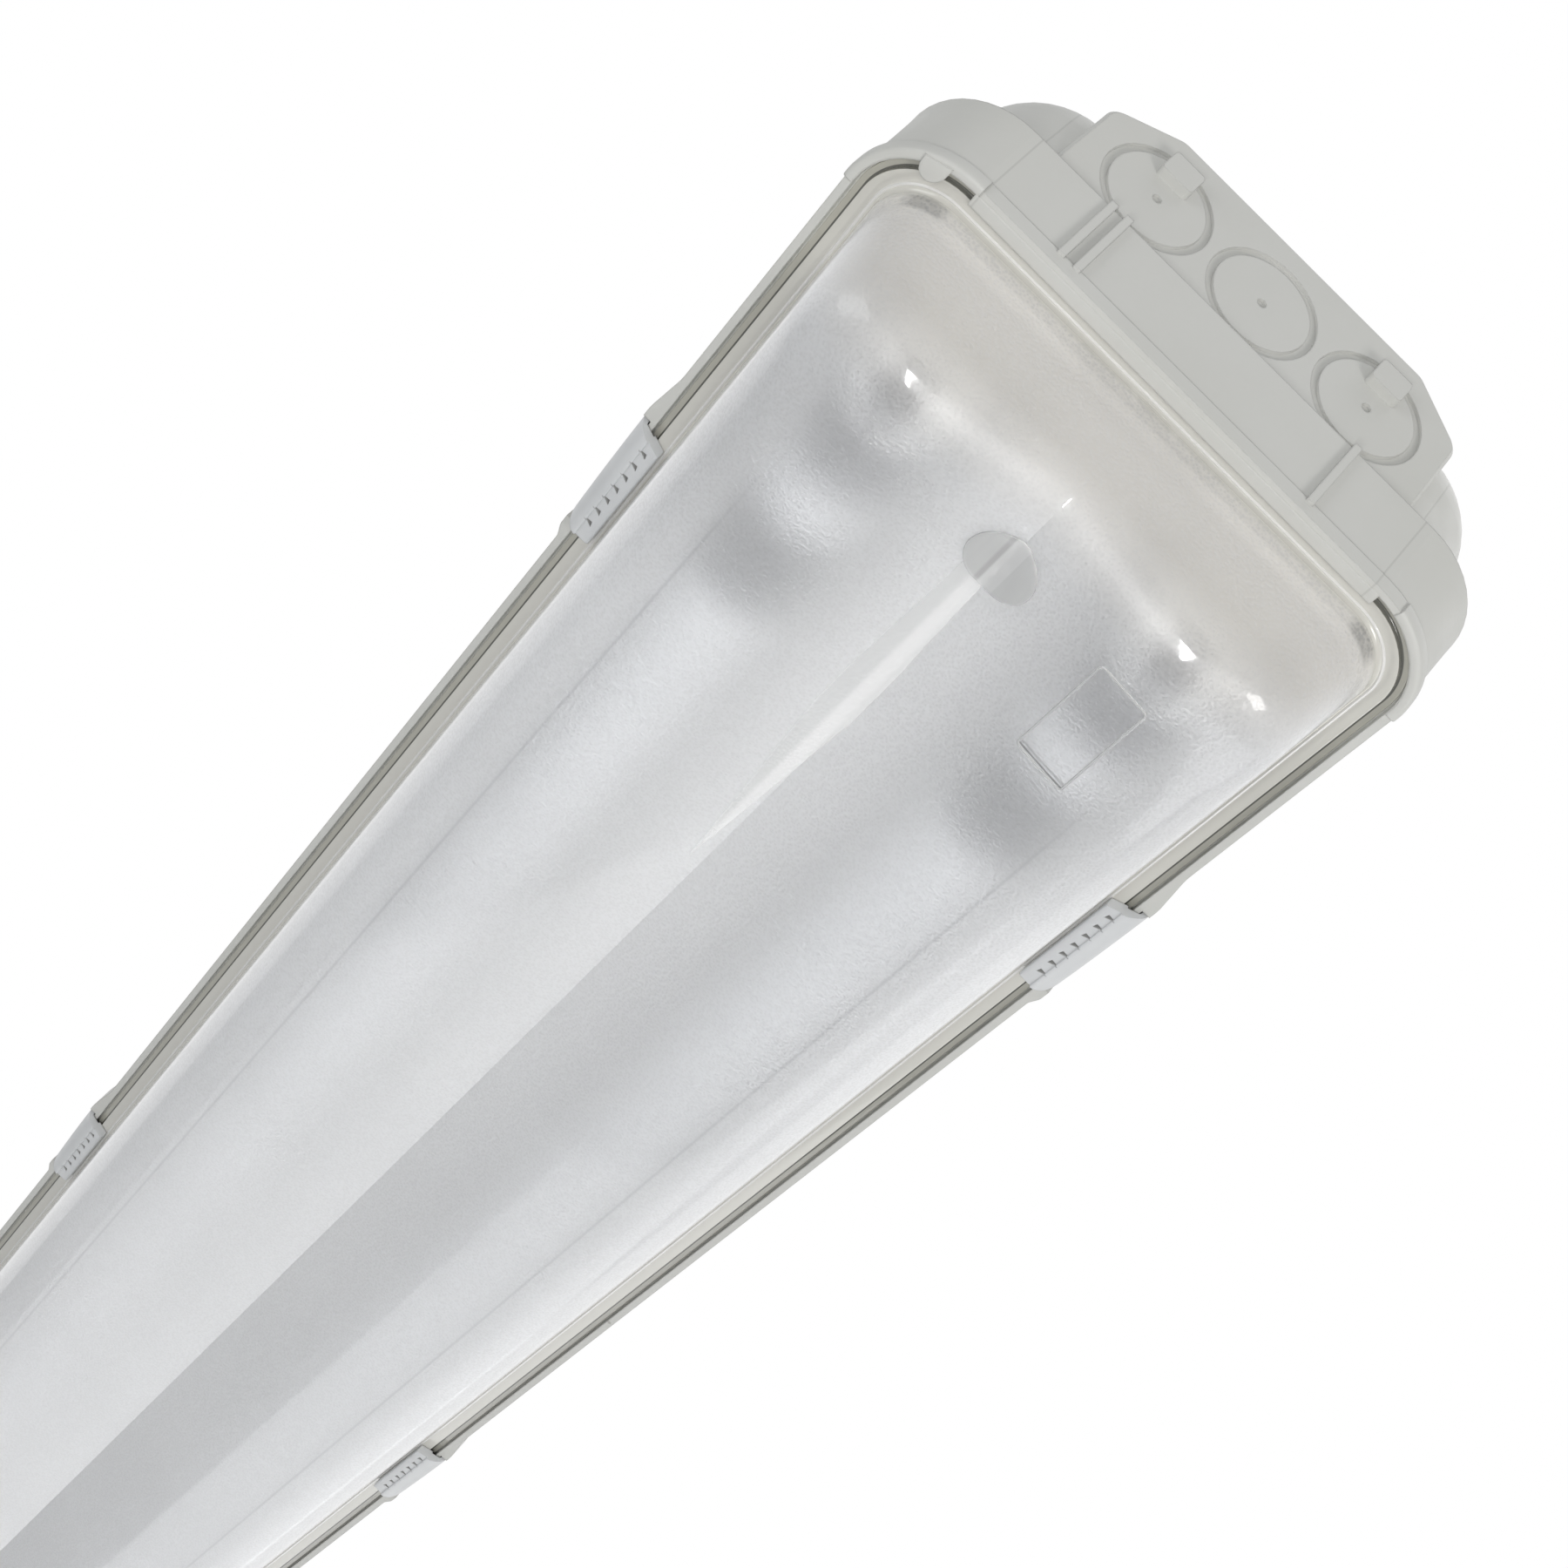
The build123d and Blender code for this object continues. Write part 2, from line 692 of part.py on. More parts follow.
def tray_screws():
    """Screws up through the tray into the housing's posts."""
    return [screw(x, y, tray_under, True) for x, y in post_places]


def earth_screw():
    """Earth screw in the tray's channel."""
    return screw(earth_x, 0, ridge_floor_top, False, 2 * tray_sheet)


def write(name, *solids):
    """One file for a node; several solids stay apart in it."""
    parts = [s for solid in solids for s in (solid if isinstance(solid, list) else [solid])]
    shape = parts[0] if len(parts) == 1 else Compound(children=parts)
    export_step(shape, f"parts/{name}.step")


os.makedirs("parts", exist_ok=True)
write("housing", housing())
write("fixing_seals", fixing_seals())
write("gasket", gasket())
write("diffuser", diffuser())
for number, place in enumerate(clip_places, 1):
    write(f"clip_left_{number}", clip(place, -1))
    write(f"clip_right_{number}", clip(place, 1))
write("gear_tray", tray())
write("tray_screws", tray_screws())
write("ballast", ballast())
write("ballast_screws", ballast_screws())
write("terminal_block", terminal_block())
write("terminal_screws", terminal_screws())
write("earth_screw", earth_screw())
write("wire_line", mains_wire(terminal_pitch))
write("wire_neutral", mains_wire(0))
write("wire_earth", earth_wire())
write("lamp_wires", [lamp_wire(end, side) for end in (-1, 1) for side in (-1, 1)])
for name, side in (("left", -1), ("right", 1)):
    for label, end in (("front", 1), ("rear", -1)):
        write(f"lampholder_{name}_{label}", lampholder(end, side))
    write(f"lamp_{name}_tube", tube(side))
    write(f"lamp_{name}_caps", [cap(end, side) for end in (-1, 1)])
    write(f"lamp_{name}_pins", lamp_pins(side))
    write(f"lamp_{name}_rotors", [rotor(end, side) for end in (-1, 1)])
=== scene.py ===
import json
import math
import bmesh
import bpy
from mathutils import Matrix, Vector


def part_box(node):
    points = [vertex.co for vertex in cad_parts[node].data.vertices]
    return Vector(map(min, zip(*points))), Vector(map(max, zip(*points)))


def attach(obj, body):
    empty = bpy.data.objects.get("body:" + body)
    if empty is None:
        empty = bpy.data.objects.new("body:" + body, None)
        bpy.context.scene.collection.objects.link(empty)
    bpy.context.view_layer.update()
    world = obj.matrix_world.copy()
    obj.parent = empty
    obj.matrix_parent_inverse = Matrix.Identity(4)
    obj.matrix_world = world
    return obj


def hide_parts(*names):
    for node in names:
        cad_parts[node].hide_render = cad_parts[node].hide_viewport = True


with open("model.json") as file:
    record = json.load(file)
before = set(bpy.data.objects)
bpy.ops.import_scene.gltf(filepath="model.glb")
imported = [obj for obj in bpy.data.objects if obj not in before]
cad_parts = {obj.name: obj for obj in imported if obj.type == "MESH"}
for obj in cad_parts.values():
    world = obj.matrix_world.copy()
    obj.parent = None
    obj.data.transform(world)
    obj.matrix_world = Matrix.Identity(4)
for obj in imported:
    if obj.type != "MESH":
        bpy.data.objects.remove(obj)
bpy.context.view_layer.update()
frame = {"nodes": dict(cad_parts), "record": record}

# Sizes in metres, in the same frame as the solids

MM = 0.001
FLANGE_INSET = 2.5 * MM
diffuser_low, diffuser_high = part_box("diffuser")
HALF_LENGTH = diffuser_high.x + FLANGE_INSET
HALF_WIDTH = diffuser_high.y + FLANGE_INSET
CREST_Z = diffuser_low.z
DOME_DEPTH = 43.8 * MM
FLANGE_TOP = CREST_Z + DOME_DEPTH
FLANGE_BOTTOM = FLANGE_TOP - 2.4 * MM
RIM_Z = FLANGE_TOP + 0.2 * MM
CORNER_RADIUS = 23 * MM
DOME_INSET = 8.5 * MM
DOME_WALL = 2.0 * MM
DOME_DRAFT = math.radians(8)
DOME_FILLET = 15 * MM
DOME_TOP_RADIUS = 24 * MM
DOME_TOP_RUN = 11 * MM
VALLEY_HALF = 54 * MM
VALLEY_DEPTH = 7.0 * MM
CREASE_Y = 50.5 * MM
GATE_X = HALF_LENGTH - 38.8 * MM
GATE_RADIUS = 9.0 * MM
FLOW_Y = -3.4 * MM
PLATE_X = HALF_LENGTH - 51.5 * MM
PLATE_Y = 36.2 * MM
PLATE_LENGTH = 35 * MM
PLATE_WIDTH = 13.9 * MM
PARTING_Y = 57.6 * MM
CLIP_HALF_PITCH = 218.2333 * MM


# Node helpers

def start_material(name, **values):
    """New material with one Principled shader, its plain values set on its own sockets."""
    material = bpy.data.materials.new(name)
    material.use_nodes = True
    tree = material.node_tree
    shader = tree.nodes["Principled BSDF"]
    for key, value in values.items():
        shader.inputs[key.replace("_", " ")].default_value = value
    return material, tree, shader


def add(tree, kind, settings=None, **values):
    """New node with its settings and its unlinked input values."""
    node = tree.nodes.new(kind)
    for key, value in (settings or {}).items():
        setattr(node, key, value)
    for key, value in values.items():
        node.inputs[key.replace("_", " ")].default_value = value
    return node


def position(tree, stretch=(1, 1, 1)):
    """Object coordinates, stretched along the axes."""
    coordinates = add(tree, "ShaderNodeTexCoord")
    mapping = add(tree, "ShaderNodeMapping", Scale=stretch)
    tree.links.new(coordinates.outputs["Object"], mapping.inputs["Vector"])
    return mapping.outputs["Vector"]


def axes(tree, place):
    """The x, y and z values of a place."""
    split = add(tree, "ShaderNodeSeparateXYZ")
    tree.links.new(place, split.inputs[0])
    return split.outputs


def noise(tree, place, scale, detail=3.0, roughness=0.5):
    """Noise value at a place."""
    node = add(tree, "ShaderNodeTexNoise", Scale=scale, Detail=detail, Roughness=roughness)
    tree.links.new(place, node.inputs["Vector"])
    return node.outputs["Fac"]


def cells(tree, place, scale, feature="F1"):
    """Distance in a field of cells."""
    node = add(tree, "ShaderNodeTexVoronoi", {"feature": feature}, Scale=scale)
    tree.links.new(place, node.inputs["Vector"])
    return node.outputs["Distance"]


def spread(tree, value, low, high, start=0.3, end=0.7):
    """Value brought from the range start to end into the range low to high."""
    node = add(tree, "ShaderNodeMapRange", From_Min=start, From_Max=end, To_Min=low, To_Max=high)
    tree.links.new(value, node.inputs["Value"])
    return node.outputs["Result"]


def between(tree, value, first, second, start=0.35, end=0.65):
    """Colour that goes from first to second with a value."""
    node = add(tree, "ShaderNodeValToRGB")
    node.color_ramp.elements[0].position = start
    node.color_ramp.elements[0].color = (*first, 1)
    node.color_ramp.elements[1].position = end
    node.color_ramp.elements[1].color = (*second, 1)
    tree.links.new(value, node.inputs["Fac"])
    return node.outputs["Color"]


def mixed(tree, value, first, second):
    """Colour mixed from first towards second by a value. Each is a socket or a plain colour."""
    node = add(tree, "ShaderNodeMix", {"data_type": "RGBA"})
    tree.links.new(value, node.inputs[0])
    for source, target in ((first, node.inputs[6]), (second, node.inputs[7])):
        if isinstance(source, tuple):
            target.default_value = (*source, 1)
        else:
            tree.links.new(source, target)
    return node.outputs[2]


def calculate(tree, operation, first, second=None):
    """Math node on sockets or numbers."""
    node = add(tree, "ShaderNodeMath", {"operation": operation})
    for source, target in ((first, node.inputs[0]), (second, node.inputs[1])):
        if isinstance(source, (int, float)):
            target.default_value = source
        elif source is not None:
            tree.links.new(source, target)
    return node.outputs[0]


def product(tree, first, *others):
    """Values multiplied together."""
    for value in others:
        first = calculate(tree, "MULTIPLY", first, value)
    return first


def total(tree, first, *others):
    """Values added together."""
    for value in others:
        first = calculate(tree, "ADD", first, value)
    return first


def minus(tree, first, second):
    """First value less the second."""
    return calculate(tree, "SUBTRACT", first, second)


def absolute(tree, value):
    """Value without its sign."""
    return calculate(tree, "ABSOLUTE", value)


def near_line(tree, distance, half, soft):
    """One within half of zero distance, falling to nought over a soft edge."""
    return spread(tree, distance, 1.0, 0.0, half, half + soft)


def within(tree, value, low, high, soft):
    """One between two limits, with soft edges."""
    up = spread(tree, value, 0.0, 1.0, low - soft, low)
    down = spread(tree, value, 1.0, 0.0, high, high + soft)
    return product(tree, up, down)


def dress(tree, shader, colour, roughness):
    """Colour and roughness linked to a shader."""
    tree.links.new(colour, shader.inputs["Base Color"])
    tree.links.new(roughness, shader.inputs["Roughness"])


def bump(tree, shader, height, strength, distance, edge=0.0):
    """Fine relief on a shader, over edges rounded by a small radius."""
    node = add(tree, "ShaderNodeBump", Strength=strength, Distance=distance)
    tree.links.new(height, node.inputs["Height"])
    if edge:
        bevel = add(tree, "ShaderNodeBevel", {"samples": 4}, Radius=edge)
        tree.links.new(bevel.outputs["Normal"], node.inputs["Normal"])
    tree.links.new(node.outputs["Normal"], shader.inputs["Normal"])


# Materials

def moulded(name, first, second, gloss, patch, grain, relief=0.12, edge=0.5 * MM):
    """Moulded plastic: cloudy colour, uneven gloss and a fine grain."""
    material, tree, shader = start_material(name)
    place = position(tree)
    cloud = noise(tree, place, patch, 6, 0.6)
    dull = spread(tree, noise(tree, place, patch * 5), *gloss)
    dress(tree, shader, between(tree, cloud, first, second), dull)
    bump(tree, shader, noise(tree, place, grain, 2), relief, 0.2 * MM, edge)
    return material


def wire(name, first, second):
    """Smooth wire insulation."""
    return moulded(name, first, second, (0.4, 0.5), 90, 1500, 0.1, 0.0)


def metal(name, first, second, gloss, stretch=(1, 1, 1), grain=400):
    """Bare metal with drawn or mottled grain."""
    material, tree, shader = start_material(name, Metallic=1.0)
    grainy = noise(tree, position(tree, stretch), grain, 4)
    dress(tree, shader, between(tree, grainy, first, second), spread(tree, grainy, *gloss))
    bump(tree, shader, grainy, 0.1, 0.1 * MM, 0.3 * MM)
    return material


def housing_material():
    """Grey moulded canopy with specks, and with faint parting lines at its ends."""
    material, tree, shader = start_material("housing_grey", Specular_IOR_Level=0.45)
    place = position(tree)
    x, y, _ = axes(tree, place)
    cloud = noise(tree, place, 14, 6, 0.6)
    colour = between(tree, cloud, (0.535, 0.535, 0.505), (0.56, 0.56, 0.535))
    speck = spread(tree, cells(tree, place, 42), 0.7, 0.0, 0.03, 0.045)
    colour = mixed(tree, speck, colour, (0.3, 0.29, 0.26))
    aside = absolute(tree, minus(tree, absolute(tree, y), PARTING_Y))
    line = near_line(tree, aside, 0.12 * MM, 0.2 * MM)
    line = product(tree, line, spread(tree, absolute(tree, x), 0.0, 1.0, 760 * MM, 765 * MM))
    colour = mixed(tree, product(tree, line, 0.3), colour, (0.3, 0.3, 0.28))
    dress(tree, shader, colour, spread(tree, noise(tree, place, 90), 0.4, 0.52))
    height = minus(tree, noise(tree, place, 1100, 2), product(tree, line, 1.5))
    bump(tree, shader, height, 0.12, 0.2 * MM, 0.6 * MM)
    return material


def rim_place(tree, x, y):
    """Distance in from the rim's outline, and the angle round its corners."""
    past_x = calculate(tree, "MAXIMUM", minus(tree, absolute(tree, x), HALF_LENGTH - CORNER_RADIUS), 0.0)
    past_y = calculate(tree, "MAXIMUM", minus(tree, absolute(tree, y), HALF_WIDTH - CORNER_RADIUS), 0.0)
    squares = total(tree, calculate(tree, "POWER", past_x, 2.0), calculate(tree, "POWER", past_y, 2.0))
    inset = minus(tree, CORNER_RADIUS, calculate(tree, "SQRT", squares))
    return inset, calculate(tree, "ARCTAN2", past_y, past_x)


def clearness(tree, x, y, z, flange):
    """How clear the diffuser is: most on the lobes near the ends, less up the walls and along the sides."""
    along = absolute(tree, x)
    up_wall = spread(tree, z, 0.8, 0.4, CREST_Z + 9 * MM, CREST_Z + 27 * MM)
    side = product(tree, spread(tree, absolute(tree, y), 0.0, 1.0, 50 * MM, 62 * MM),
                   spread(tree, along, 0.55, 0.15, HALF_LENGTH - 135 * MM, HALF_LENGTH - 70 * MM))
    middle = spread(tree, along, 0.8, 1.0, 200 * MM, 600 * MM)
    clear = product(tree, up_wall, minus(tree, 1.0, side), middle)
    return minus(tree, clear, product(tree, flange, 0.08))


def plate_masks(tree, x, y):
    """Area of the bare plate, and the line along its far edge, where the shade and reflection of the recess
    wall are painted dark.
    """
    far = PLATE_X - PLATE_LENGTH / 2
    low = PLATE_Y - PLATE_WIDTH / 2
    plate = product(tree, within(tree, x, far, far + PLATE_LENGTH, 0.3 * MM),
                    within(tree, y, low, low + PLATE_WIDTH, 0.3 * MM))
    # Dark far-edge line: painted shade and reflection of the recess wall
    line = product(tree, within(tree, x, far + 0.7 * MM, far + 1.1 * MM, 0.15 * MM), plate)
    return plate, line


def flow_masks(tree, x, y):
    """Leaf-shaped mark of the flow from the gate along the valley, and the bright streak in it."""
    leaf = spread(tree, x, 0.0, 5 * MM, HALF_LENGTH - 188 * MM, HALF_LENGTH - 110 * MM)
    neck = spread(tree, x, 0.0, 1.5 * MM, HALF_LENGTH - 90 * MM, HALF_LENGTH - 45 * MM)
    aside = minus(tree, y, FLOW_Y)
    inside = minus(tree, minus(tree, leaf, neck), absolute(tree, aside))
    mark = spread(tree, inside, 0.0, 1.0, 0.0, 0.5 * MM)
    mark = product(tree, mark, calculate(tree, "LESS_THAN", x, GATE_X))
    streak = product(tree, mark, spread(tree, aside, 0.0, 0.6, -0.8 * MM, 0.4 * MM))
    return mark, streak


def end_tint_and_painted_light(tree, z):
    """Warm tone of the bowl's end wall, with painted light: a painted sheen makes it paler on the crest, and
    it is painted paler near the flange to even out its shading.
    """
    # Paler on the crest: a painted sheen
    painted_crest_sheen = spread(tree, z, 1.0, 0.0, CREST_Z + 8 * MM, CREST_Z + 17 * MM)
    tint = mixed(tree, painted_crest_sheen, (0.62, 0.604, 0.576), (0.74, 0.73, 0.715))
    # Paler near the flange: painted light that evens out the wall's shading
    high = spread(tree, z, 0.0, 1.0, CREST_Z + 32 * MM, CREST_Z + 39 * MM)
    return mixed(tree, high, tint, (0.82, 0.8, 0.765))


def diffuser_material():
    """Clear moulding with a fine stipple on the bowl, a smooth flange and the marks of its mould, with
    painted shade in the flange's ledge and groove, along the lobes' creases, in the bowl's corners, in the
    stipple's pits and at the plate's far edge, and painted light on the end wall.
    """
    material, tree, shader = start_material(
        "diffuser_stippled", IOR=1.5, Coat_Weight=0.8, Coat_Roughness=0.05, Coat_IOR=1.45)
    place = position(tree)
    x, y, z = axes(tree, place)
    along = absolute(tree, x)
    dome = spread(tree, z, 1.0, 0.0, FLANGE_BOTTOM - 2.5 * MM, FLANGE_BOTTOM - 1.0 * MM)
    flange = minus(tree, 1.0, dome)
    tree.links.new(clearness(tree, x, y, z, flange), shader.inputs["Transmission Weight"])
    end = spread(tree, along, 0.0, 1.0, HALF_LENGTH - 27 * MM, HALF_LENGTH - 15 * MM)
    plate, plate_edge_shade = plate_masks(tree, x, y)
    mark, streak = flow_masks(tree, x, y)
    smooth = calculate(tree, "MAXIMUM", product(tree, plate, 0.12), product(tree, mark, 0.6))
    stipple = product(tree, dome, minus(tree, 1.0, smooth))
    dimples = cells(tree, place, 1300, "SMOOTH_F1")

    # Marks of the flange, by their distance in from the rim; the ledge is darkened as painted shade of the
    # gap by the lip, partly the foam seen through, and the step line is painted shade in its groove
    inset, turn = rim_place(tree, x, y)
    ledge = product(tree, flange, spread(tree, inset, 1.0, 0.0, 4.3 * MM, 4.4 * MM))
    step = product(tree, flange, within(tree, inset, 4.0 * MM, 4.5 * MM, 0.08 * MM))
    bead = product(tree, flange, within(tree, inset, 7.6 * MM, 8.2 * MM, 0.2 * MM))

    # Painted shade on the bowl: a grey line along the crease of each lobe, dark crescents at the corners
    # where the dark inside shows through, and darker pits of the stipple
    crease = near_line(tree, absolute(tree, minus(tree, absolute(tree, y), CREASE_Y)), 0.12 * MM, 0.45 * MM)
    fading = spread(tree, along, 0.45, 0.0, HALF_LENGTH - 95 * MM, HALF_LENGTH - 60 * MM)
    low_wall = within(tree, z, FLANGE_BOTTOM - 4.5 * MM, FLANGE_BOTTOM - 1.9 * MM, 1.0 * MM)
    painted_corner_shade = product(tree, within(tree, turn, 0.2, 0.65, 0.3), low_wall,
                       spread(tree, dimples, 0.95, 0.45, 0.1, 0.5))
    painted_pit_shade = product(tree, spread(tree, dimples, 0.5, 0.0, 0.1, 0.55), stipple)

    colour = between(tree, noise(tree, place, 9, 4), (0.80, 0.805, 0.815), (0.825, 0.83, 0.84))
    layers = (
        # Warm end tone, with a painted sheen and painted light on it
        (end, end_tint_and_painted_light(tree, z)),
        (flange, (0.64, 0.63, 0.585)),
        # Painted shade: the ledge's gap by the lip, partly the foam seen through, and the step's groove
        (ledge, (0.52, 0.51, 0.45)),
        (step, (0.14, 0.14, 0.125)),
        (bead, (0.76, 0.755, 0.74)),
        # Painted shade: the crease lines, the corner crescents and the stipple's pits
        (product(tree, crease, fading), (0.5, 0.505, 0.52)),
        (painted_corner_shade, (0.09, 0.09, 0.09)),
        (painted_pit_shade, (0.64, 0.64, 0.64)),
        # Painted shade and reflection at the plate's far edge
        (product(tree, plate_edge_shade, 0.85), (0.08, 0.08, 0.08)),
        (product(tree, mark, 0.35), (0.62, 0.62, 0.615)),
        (streak, (0.97, 0.97, 0.97)),
    )
    for share, tone in layers:
        colour = mixed(tree, share, colour, tone)
    dull = total(tree, spread(tree, stipple, 0.1, 0.34, 0.0, 1.0), product(tree, end, 0.14))
    dress(tree, shader, colour, dull)
    wave = noise(tree, position(tree, (0.2, 1, 1)), 30, 2)
    height = total(tree, product(tree, dimples, stipple), product(tree, wave, dome, 0.1),
                   product(tree, mark, 0.4))
    bump(tree, shader, height, 0.4, 0.4 * MM)
    return material


def gate_material():
    """Smooth clear plastic of the gate button and the plate's frame, with faint flow lines."""
    material, tree, shader = start_material(
        "diffuser_gate", Transmission_Weight=0.5, IOR=1.5, Coat_Weight=0.6, Coat_Roughness=0.04)
    flow = noise(tree, position(tree, (0.15, 1, 1)), 160, 3)
    _, y, _ = axes(tree, position(tree))
    band = within(tree, y, -1.6 * MM, 2.2 * MM, 0.2 * MM)
    shade = within(tree, y, -2.6 * MM, -2.0 * MM, 0.6 * MM)
    colour = between(tree, flow, (0.77, 0.772, 0.766), (0.83, 0.832, 0.826))
    colour = mixed(tree, band, colour, (0.9, 0.9, 0.895))
    colour = mixed(tree, product(tree, shade, 0.5), colour, (0.5, 0.5, 0.49))
    dress(tree, shader, colour, spread(tree, flow, 0.1, 0.22))
    bump(tree, shader, flow, 0.15, 0.3 * MM)
    return material


def clip_material():
    """Pale grey clip plastic, darkened in the grip notches by painted shade."""
    material, tree, shader = start_material("clip_grey", Specular_IOR_Level=0.5)
    place = position(tree)
    x, y, z = axes(tree, place)
    from_pair = absolute(tree, minus(tree, absolute(tree, x), 2 * CLIP_HALF_PITCH))
    from_clip = absolute(tree, minus(tree, from_pair, CLIP_HALF_PITCH))
    # Darker grip notches: painted shade in the cavities
    notches = product(tree, calculate(tree, "LESS_THAN", from_clip, 17.6 * MM),
                      within(tree, z, -70.6 * MM, -69.2 * MM, 0.1 * MM),
                      within(tree, absolute(tree, y), 76.4 * MM, 80.0 * MM, 0.1 * MM))
    cloud = between(tree, noise(tree, place, 30, 6, 0.6), (0.56, 0.57, 0.575), (0.6, 0.61, 0.615))
    colour = mixed(tree, notches, cloud, (0.42, 0.42, 0.41))
    dress(tree, shader, colour, spread(tree, noise(tree, place, 150), 0.3, 0.42))
    bump(tree, shader, noise(tree, place, 1200, 2), 0.06, 0.2 * MM, 0.4 * MM)
    return material


def lamp_material():
    """White coated lamp glass, dark at its ends and in a band near them."""
    material, tree, shader = start_material("lamp_glass_white", Coat_Weight=0.8, Coat_Roughness=0.05)
    place = position(tree)
    x, _, _ = axes(tree, place)
    along = absolute(tree, x)
    end = spread(tree, along, 0.0, 1.0, 722 * MM, 735 * MM)
    band = within(tree, along, 684 * MM, 706 * MM, 10 * MM)
    cloud = between(tree, noise(tree, place, 60, 4), (0.84, 0.85, 0.86), (0.88, 0.89, 0.9))
    colour = mixed(tree, calculate(tree, "MAXIMUM", end, band), cloud, (0.06, 0.062, 0.068))
    dress(tree, shader, colour, spread(tree, noise(tree, place, 200), 0.45, 0.6))
    bump(tree, shader, noise(tree, place, 600, 2), 0.05, 0.1 * MM)
    return material


def holder_material():
    """White lampholder moulding, with painted shade: a near-black patch on its underside where the pin slot
    opens.
    """
    material, tree, shader = start_material("holder_white")
    place = position(tree)
    x, y, z = axes(tree, place)
    # Painted shade where the pin slot opens
    painted_slot_shade = product(tree, within(tree, absolute(tree, x), 757 * MM, 768.5 * MM, 0.5 * MM),
                    within(tree, absolute(tree, y), 35.5 * MM, 46.5 * MM, 0.5 * MM),
                    spread(tree, z, 1.0, 0.0, -87 * MM, -84 * MM))
    cloud = between(tree, noise(tree, place, 50, 6, 0.6), (0.78, 0.78, 0.76), (0.84, 0.84, 0.82))
    colour = mixed(tree, painted_slot_shade, cloud, (0.015, 0.015, 0.016))
    dress(tree, shader, colour, spread(tree, noise(tree, place, 250), 0.28, 0.4))
    bump(tree, shader, noise(tree, place, 900, 2), 0.08, 0.2 * MM, 0.5 * MM)
    return material


def foam_material():
    """Soft foam with open cells."""
    material, tree, shader = start_material("gasket_beige")
    pores = cells(tree, position(tree), 1400)
    colour = between(tree, pores, (0.42, 0.405, 0.35), (0.48, 0.465, 0.41), 0.1, 0.6)
    dress(tree, shader, colour, spread(tree, pores, 0.95, 0.8, 0.0, 0.8))
    bump(tree, shader, pores, 0.2, 0.2 * MM)
    return material


def spangle_material():
    """Zinc-coated sheet with its frosty crystals."""
    material, tree, shader = start_material("ballast_zinc", Metallic=1.0)
    crystals = add(tree, "ShaderNodeTexVoronoi", Scale=220.0)
    tree.links.new(position(tree), crystals.inputs["Vector"])
    tone = add(tree, "ShaderNodeSeparateColor")
    tree.links.new(crystals.outputs["Color"], tone.inputs[0])
    value = tone.outputs[0]
    colour = between(tree, value, (0.5, 0.51, 0.52), (0.72, 0.73, 0.74), 0.1, 0.9)
    dress(tree, shader, colour, spread(tree, value, 0.28, 0.5, 0.0, 1.0))
    bump(tree, shader, value, 0.08, 0.1 * MM, 0.5 * MM)
    return material


materials = {
    "housing_plastic": housing_material(),
    "clip_plastic": clip_material(),
    "seal_rubber": moulded(
        "seal_black", (0.035, 0.035, 0.036), (0.055, 0.055, 0.056), (0.6, 0.8), 40, 1500, 0.3),
    "gasket_foam": foam_material(),
    "diffuser_clear": diffuser_material(),
    "tray_white": moulded(
        "tray_powder_white", (0.8, 0.8, 0.79), (0.85, 0.85, 0.84), (0.3, 0.42), 12, 420, 0.1),
    "zinc_steel": metal("screw_zinc", (0.55, 0.55, 0.54), (0.72, 0.72, 0.7), (0.22, 0.4)),
    "ballast_case": spangle_material(),
    "terminal_plastic": moulded(
        "terminal_ivory", (0.66, 0.64, 0.56), (0.74, 0.72, 0.64), (0.4, 0.55), 60, 1200),
    "holder_white": holder_material(),
    "rotor_white": moulded(
        "rotor_white", (0.7, 0.7, 0.69), (0.78, 0.78, 0.77), (0.35, 0.5), 80, 1200, 0.08),
    "lamp_glass": lamp_material(),
    "cap_metal": metal(
        "cap_aluminium", (0.16, 0.16, 0.17), (0.26, 0.26, 0.27), (0.35, 0.5), (30, 1, 1), 120),
    "pin_brass": metal("pin_brass", (0.62, 0.47, 0.22), (0.76, 0.6, 0.32), (0.2, 0.35)),
    "wire_brown": wire("wire_brown", (0.12, 0.055, 0.03), (0.16, 0.075, 0.04)),
    "wire_blue": wire("wire_blue", (0.03, 0.1, 0.3), (0.04, 0.13, 0.37)),
    "wire_green": wire("wire_green", (0.06, 0.24, 0.06), (0.55, 0.5, 0.05)),
    "wire_white": wire("wire_white", (0.68, 0.68, 0.66), (0.76, 0.76, 0.74)),
}
gate_plastic = gate_material()

for subpart in frame["record"]["subparts"]:
    mesh = frame["nodes"][subpart["node"]].data
    mesh.materials.clear()
    mesh.materials.append(materials[subpart["material_slot"]])


# Mesh helpers

SHARP_ANGLE = math.radians(40)


def join_rings(shape, first, second):
    """Faces between two rings of the same number of corners."""
    for i in range(len(first)):
        j = (i + 1) % len(first)
        shape.faces.new((first[i], first[j], second[j], second[i]))


def sweep(shape, rings, closed=False):
    """Skin over rings of points, closed into a loop or with its two ends closed off."""
    verts = [[shape.verts.new(p) for p in ring] for ring in rings]
    following = verts[1:] + verts[:1] if closed else verts[1:]
    for first, second in zip(verts, following):
        join_rings(shape, first, second)
    if not closed:
        shape.faces.new(verts[0][::-1])
        shape.faces.new(verts[-1])


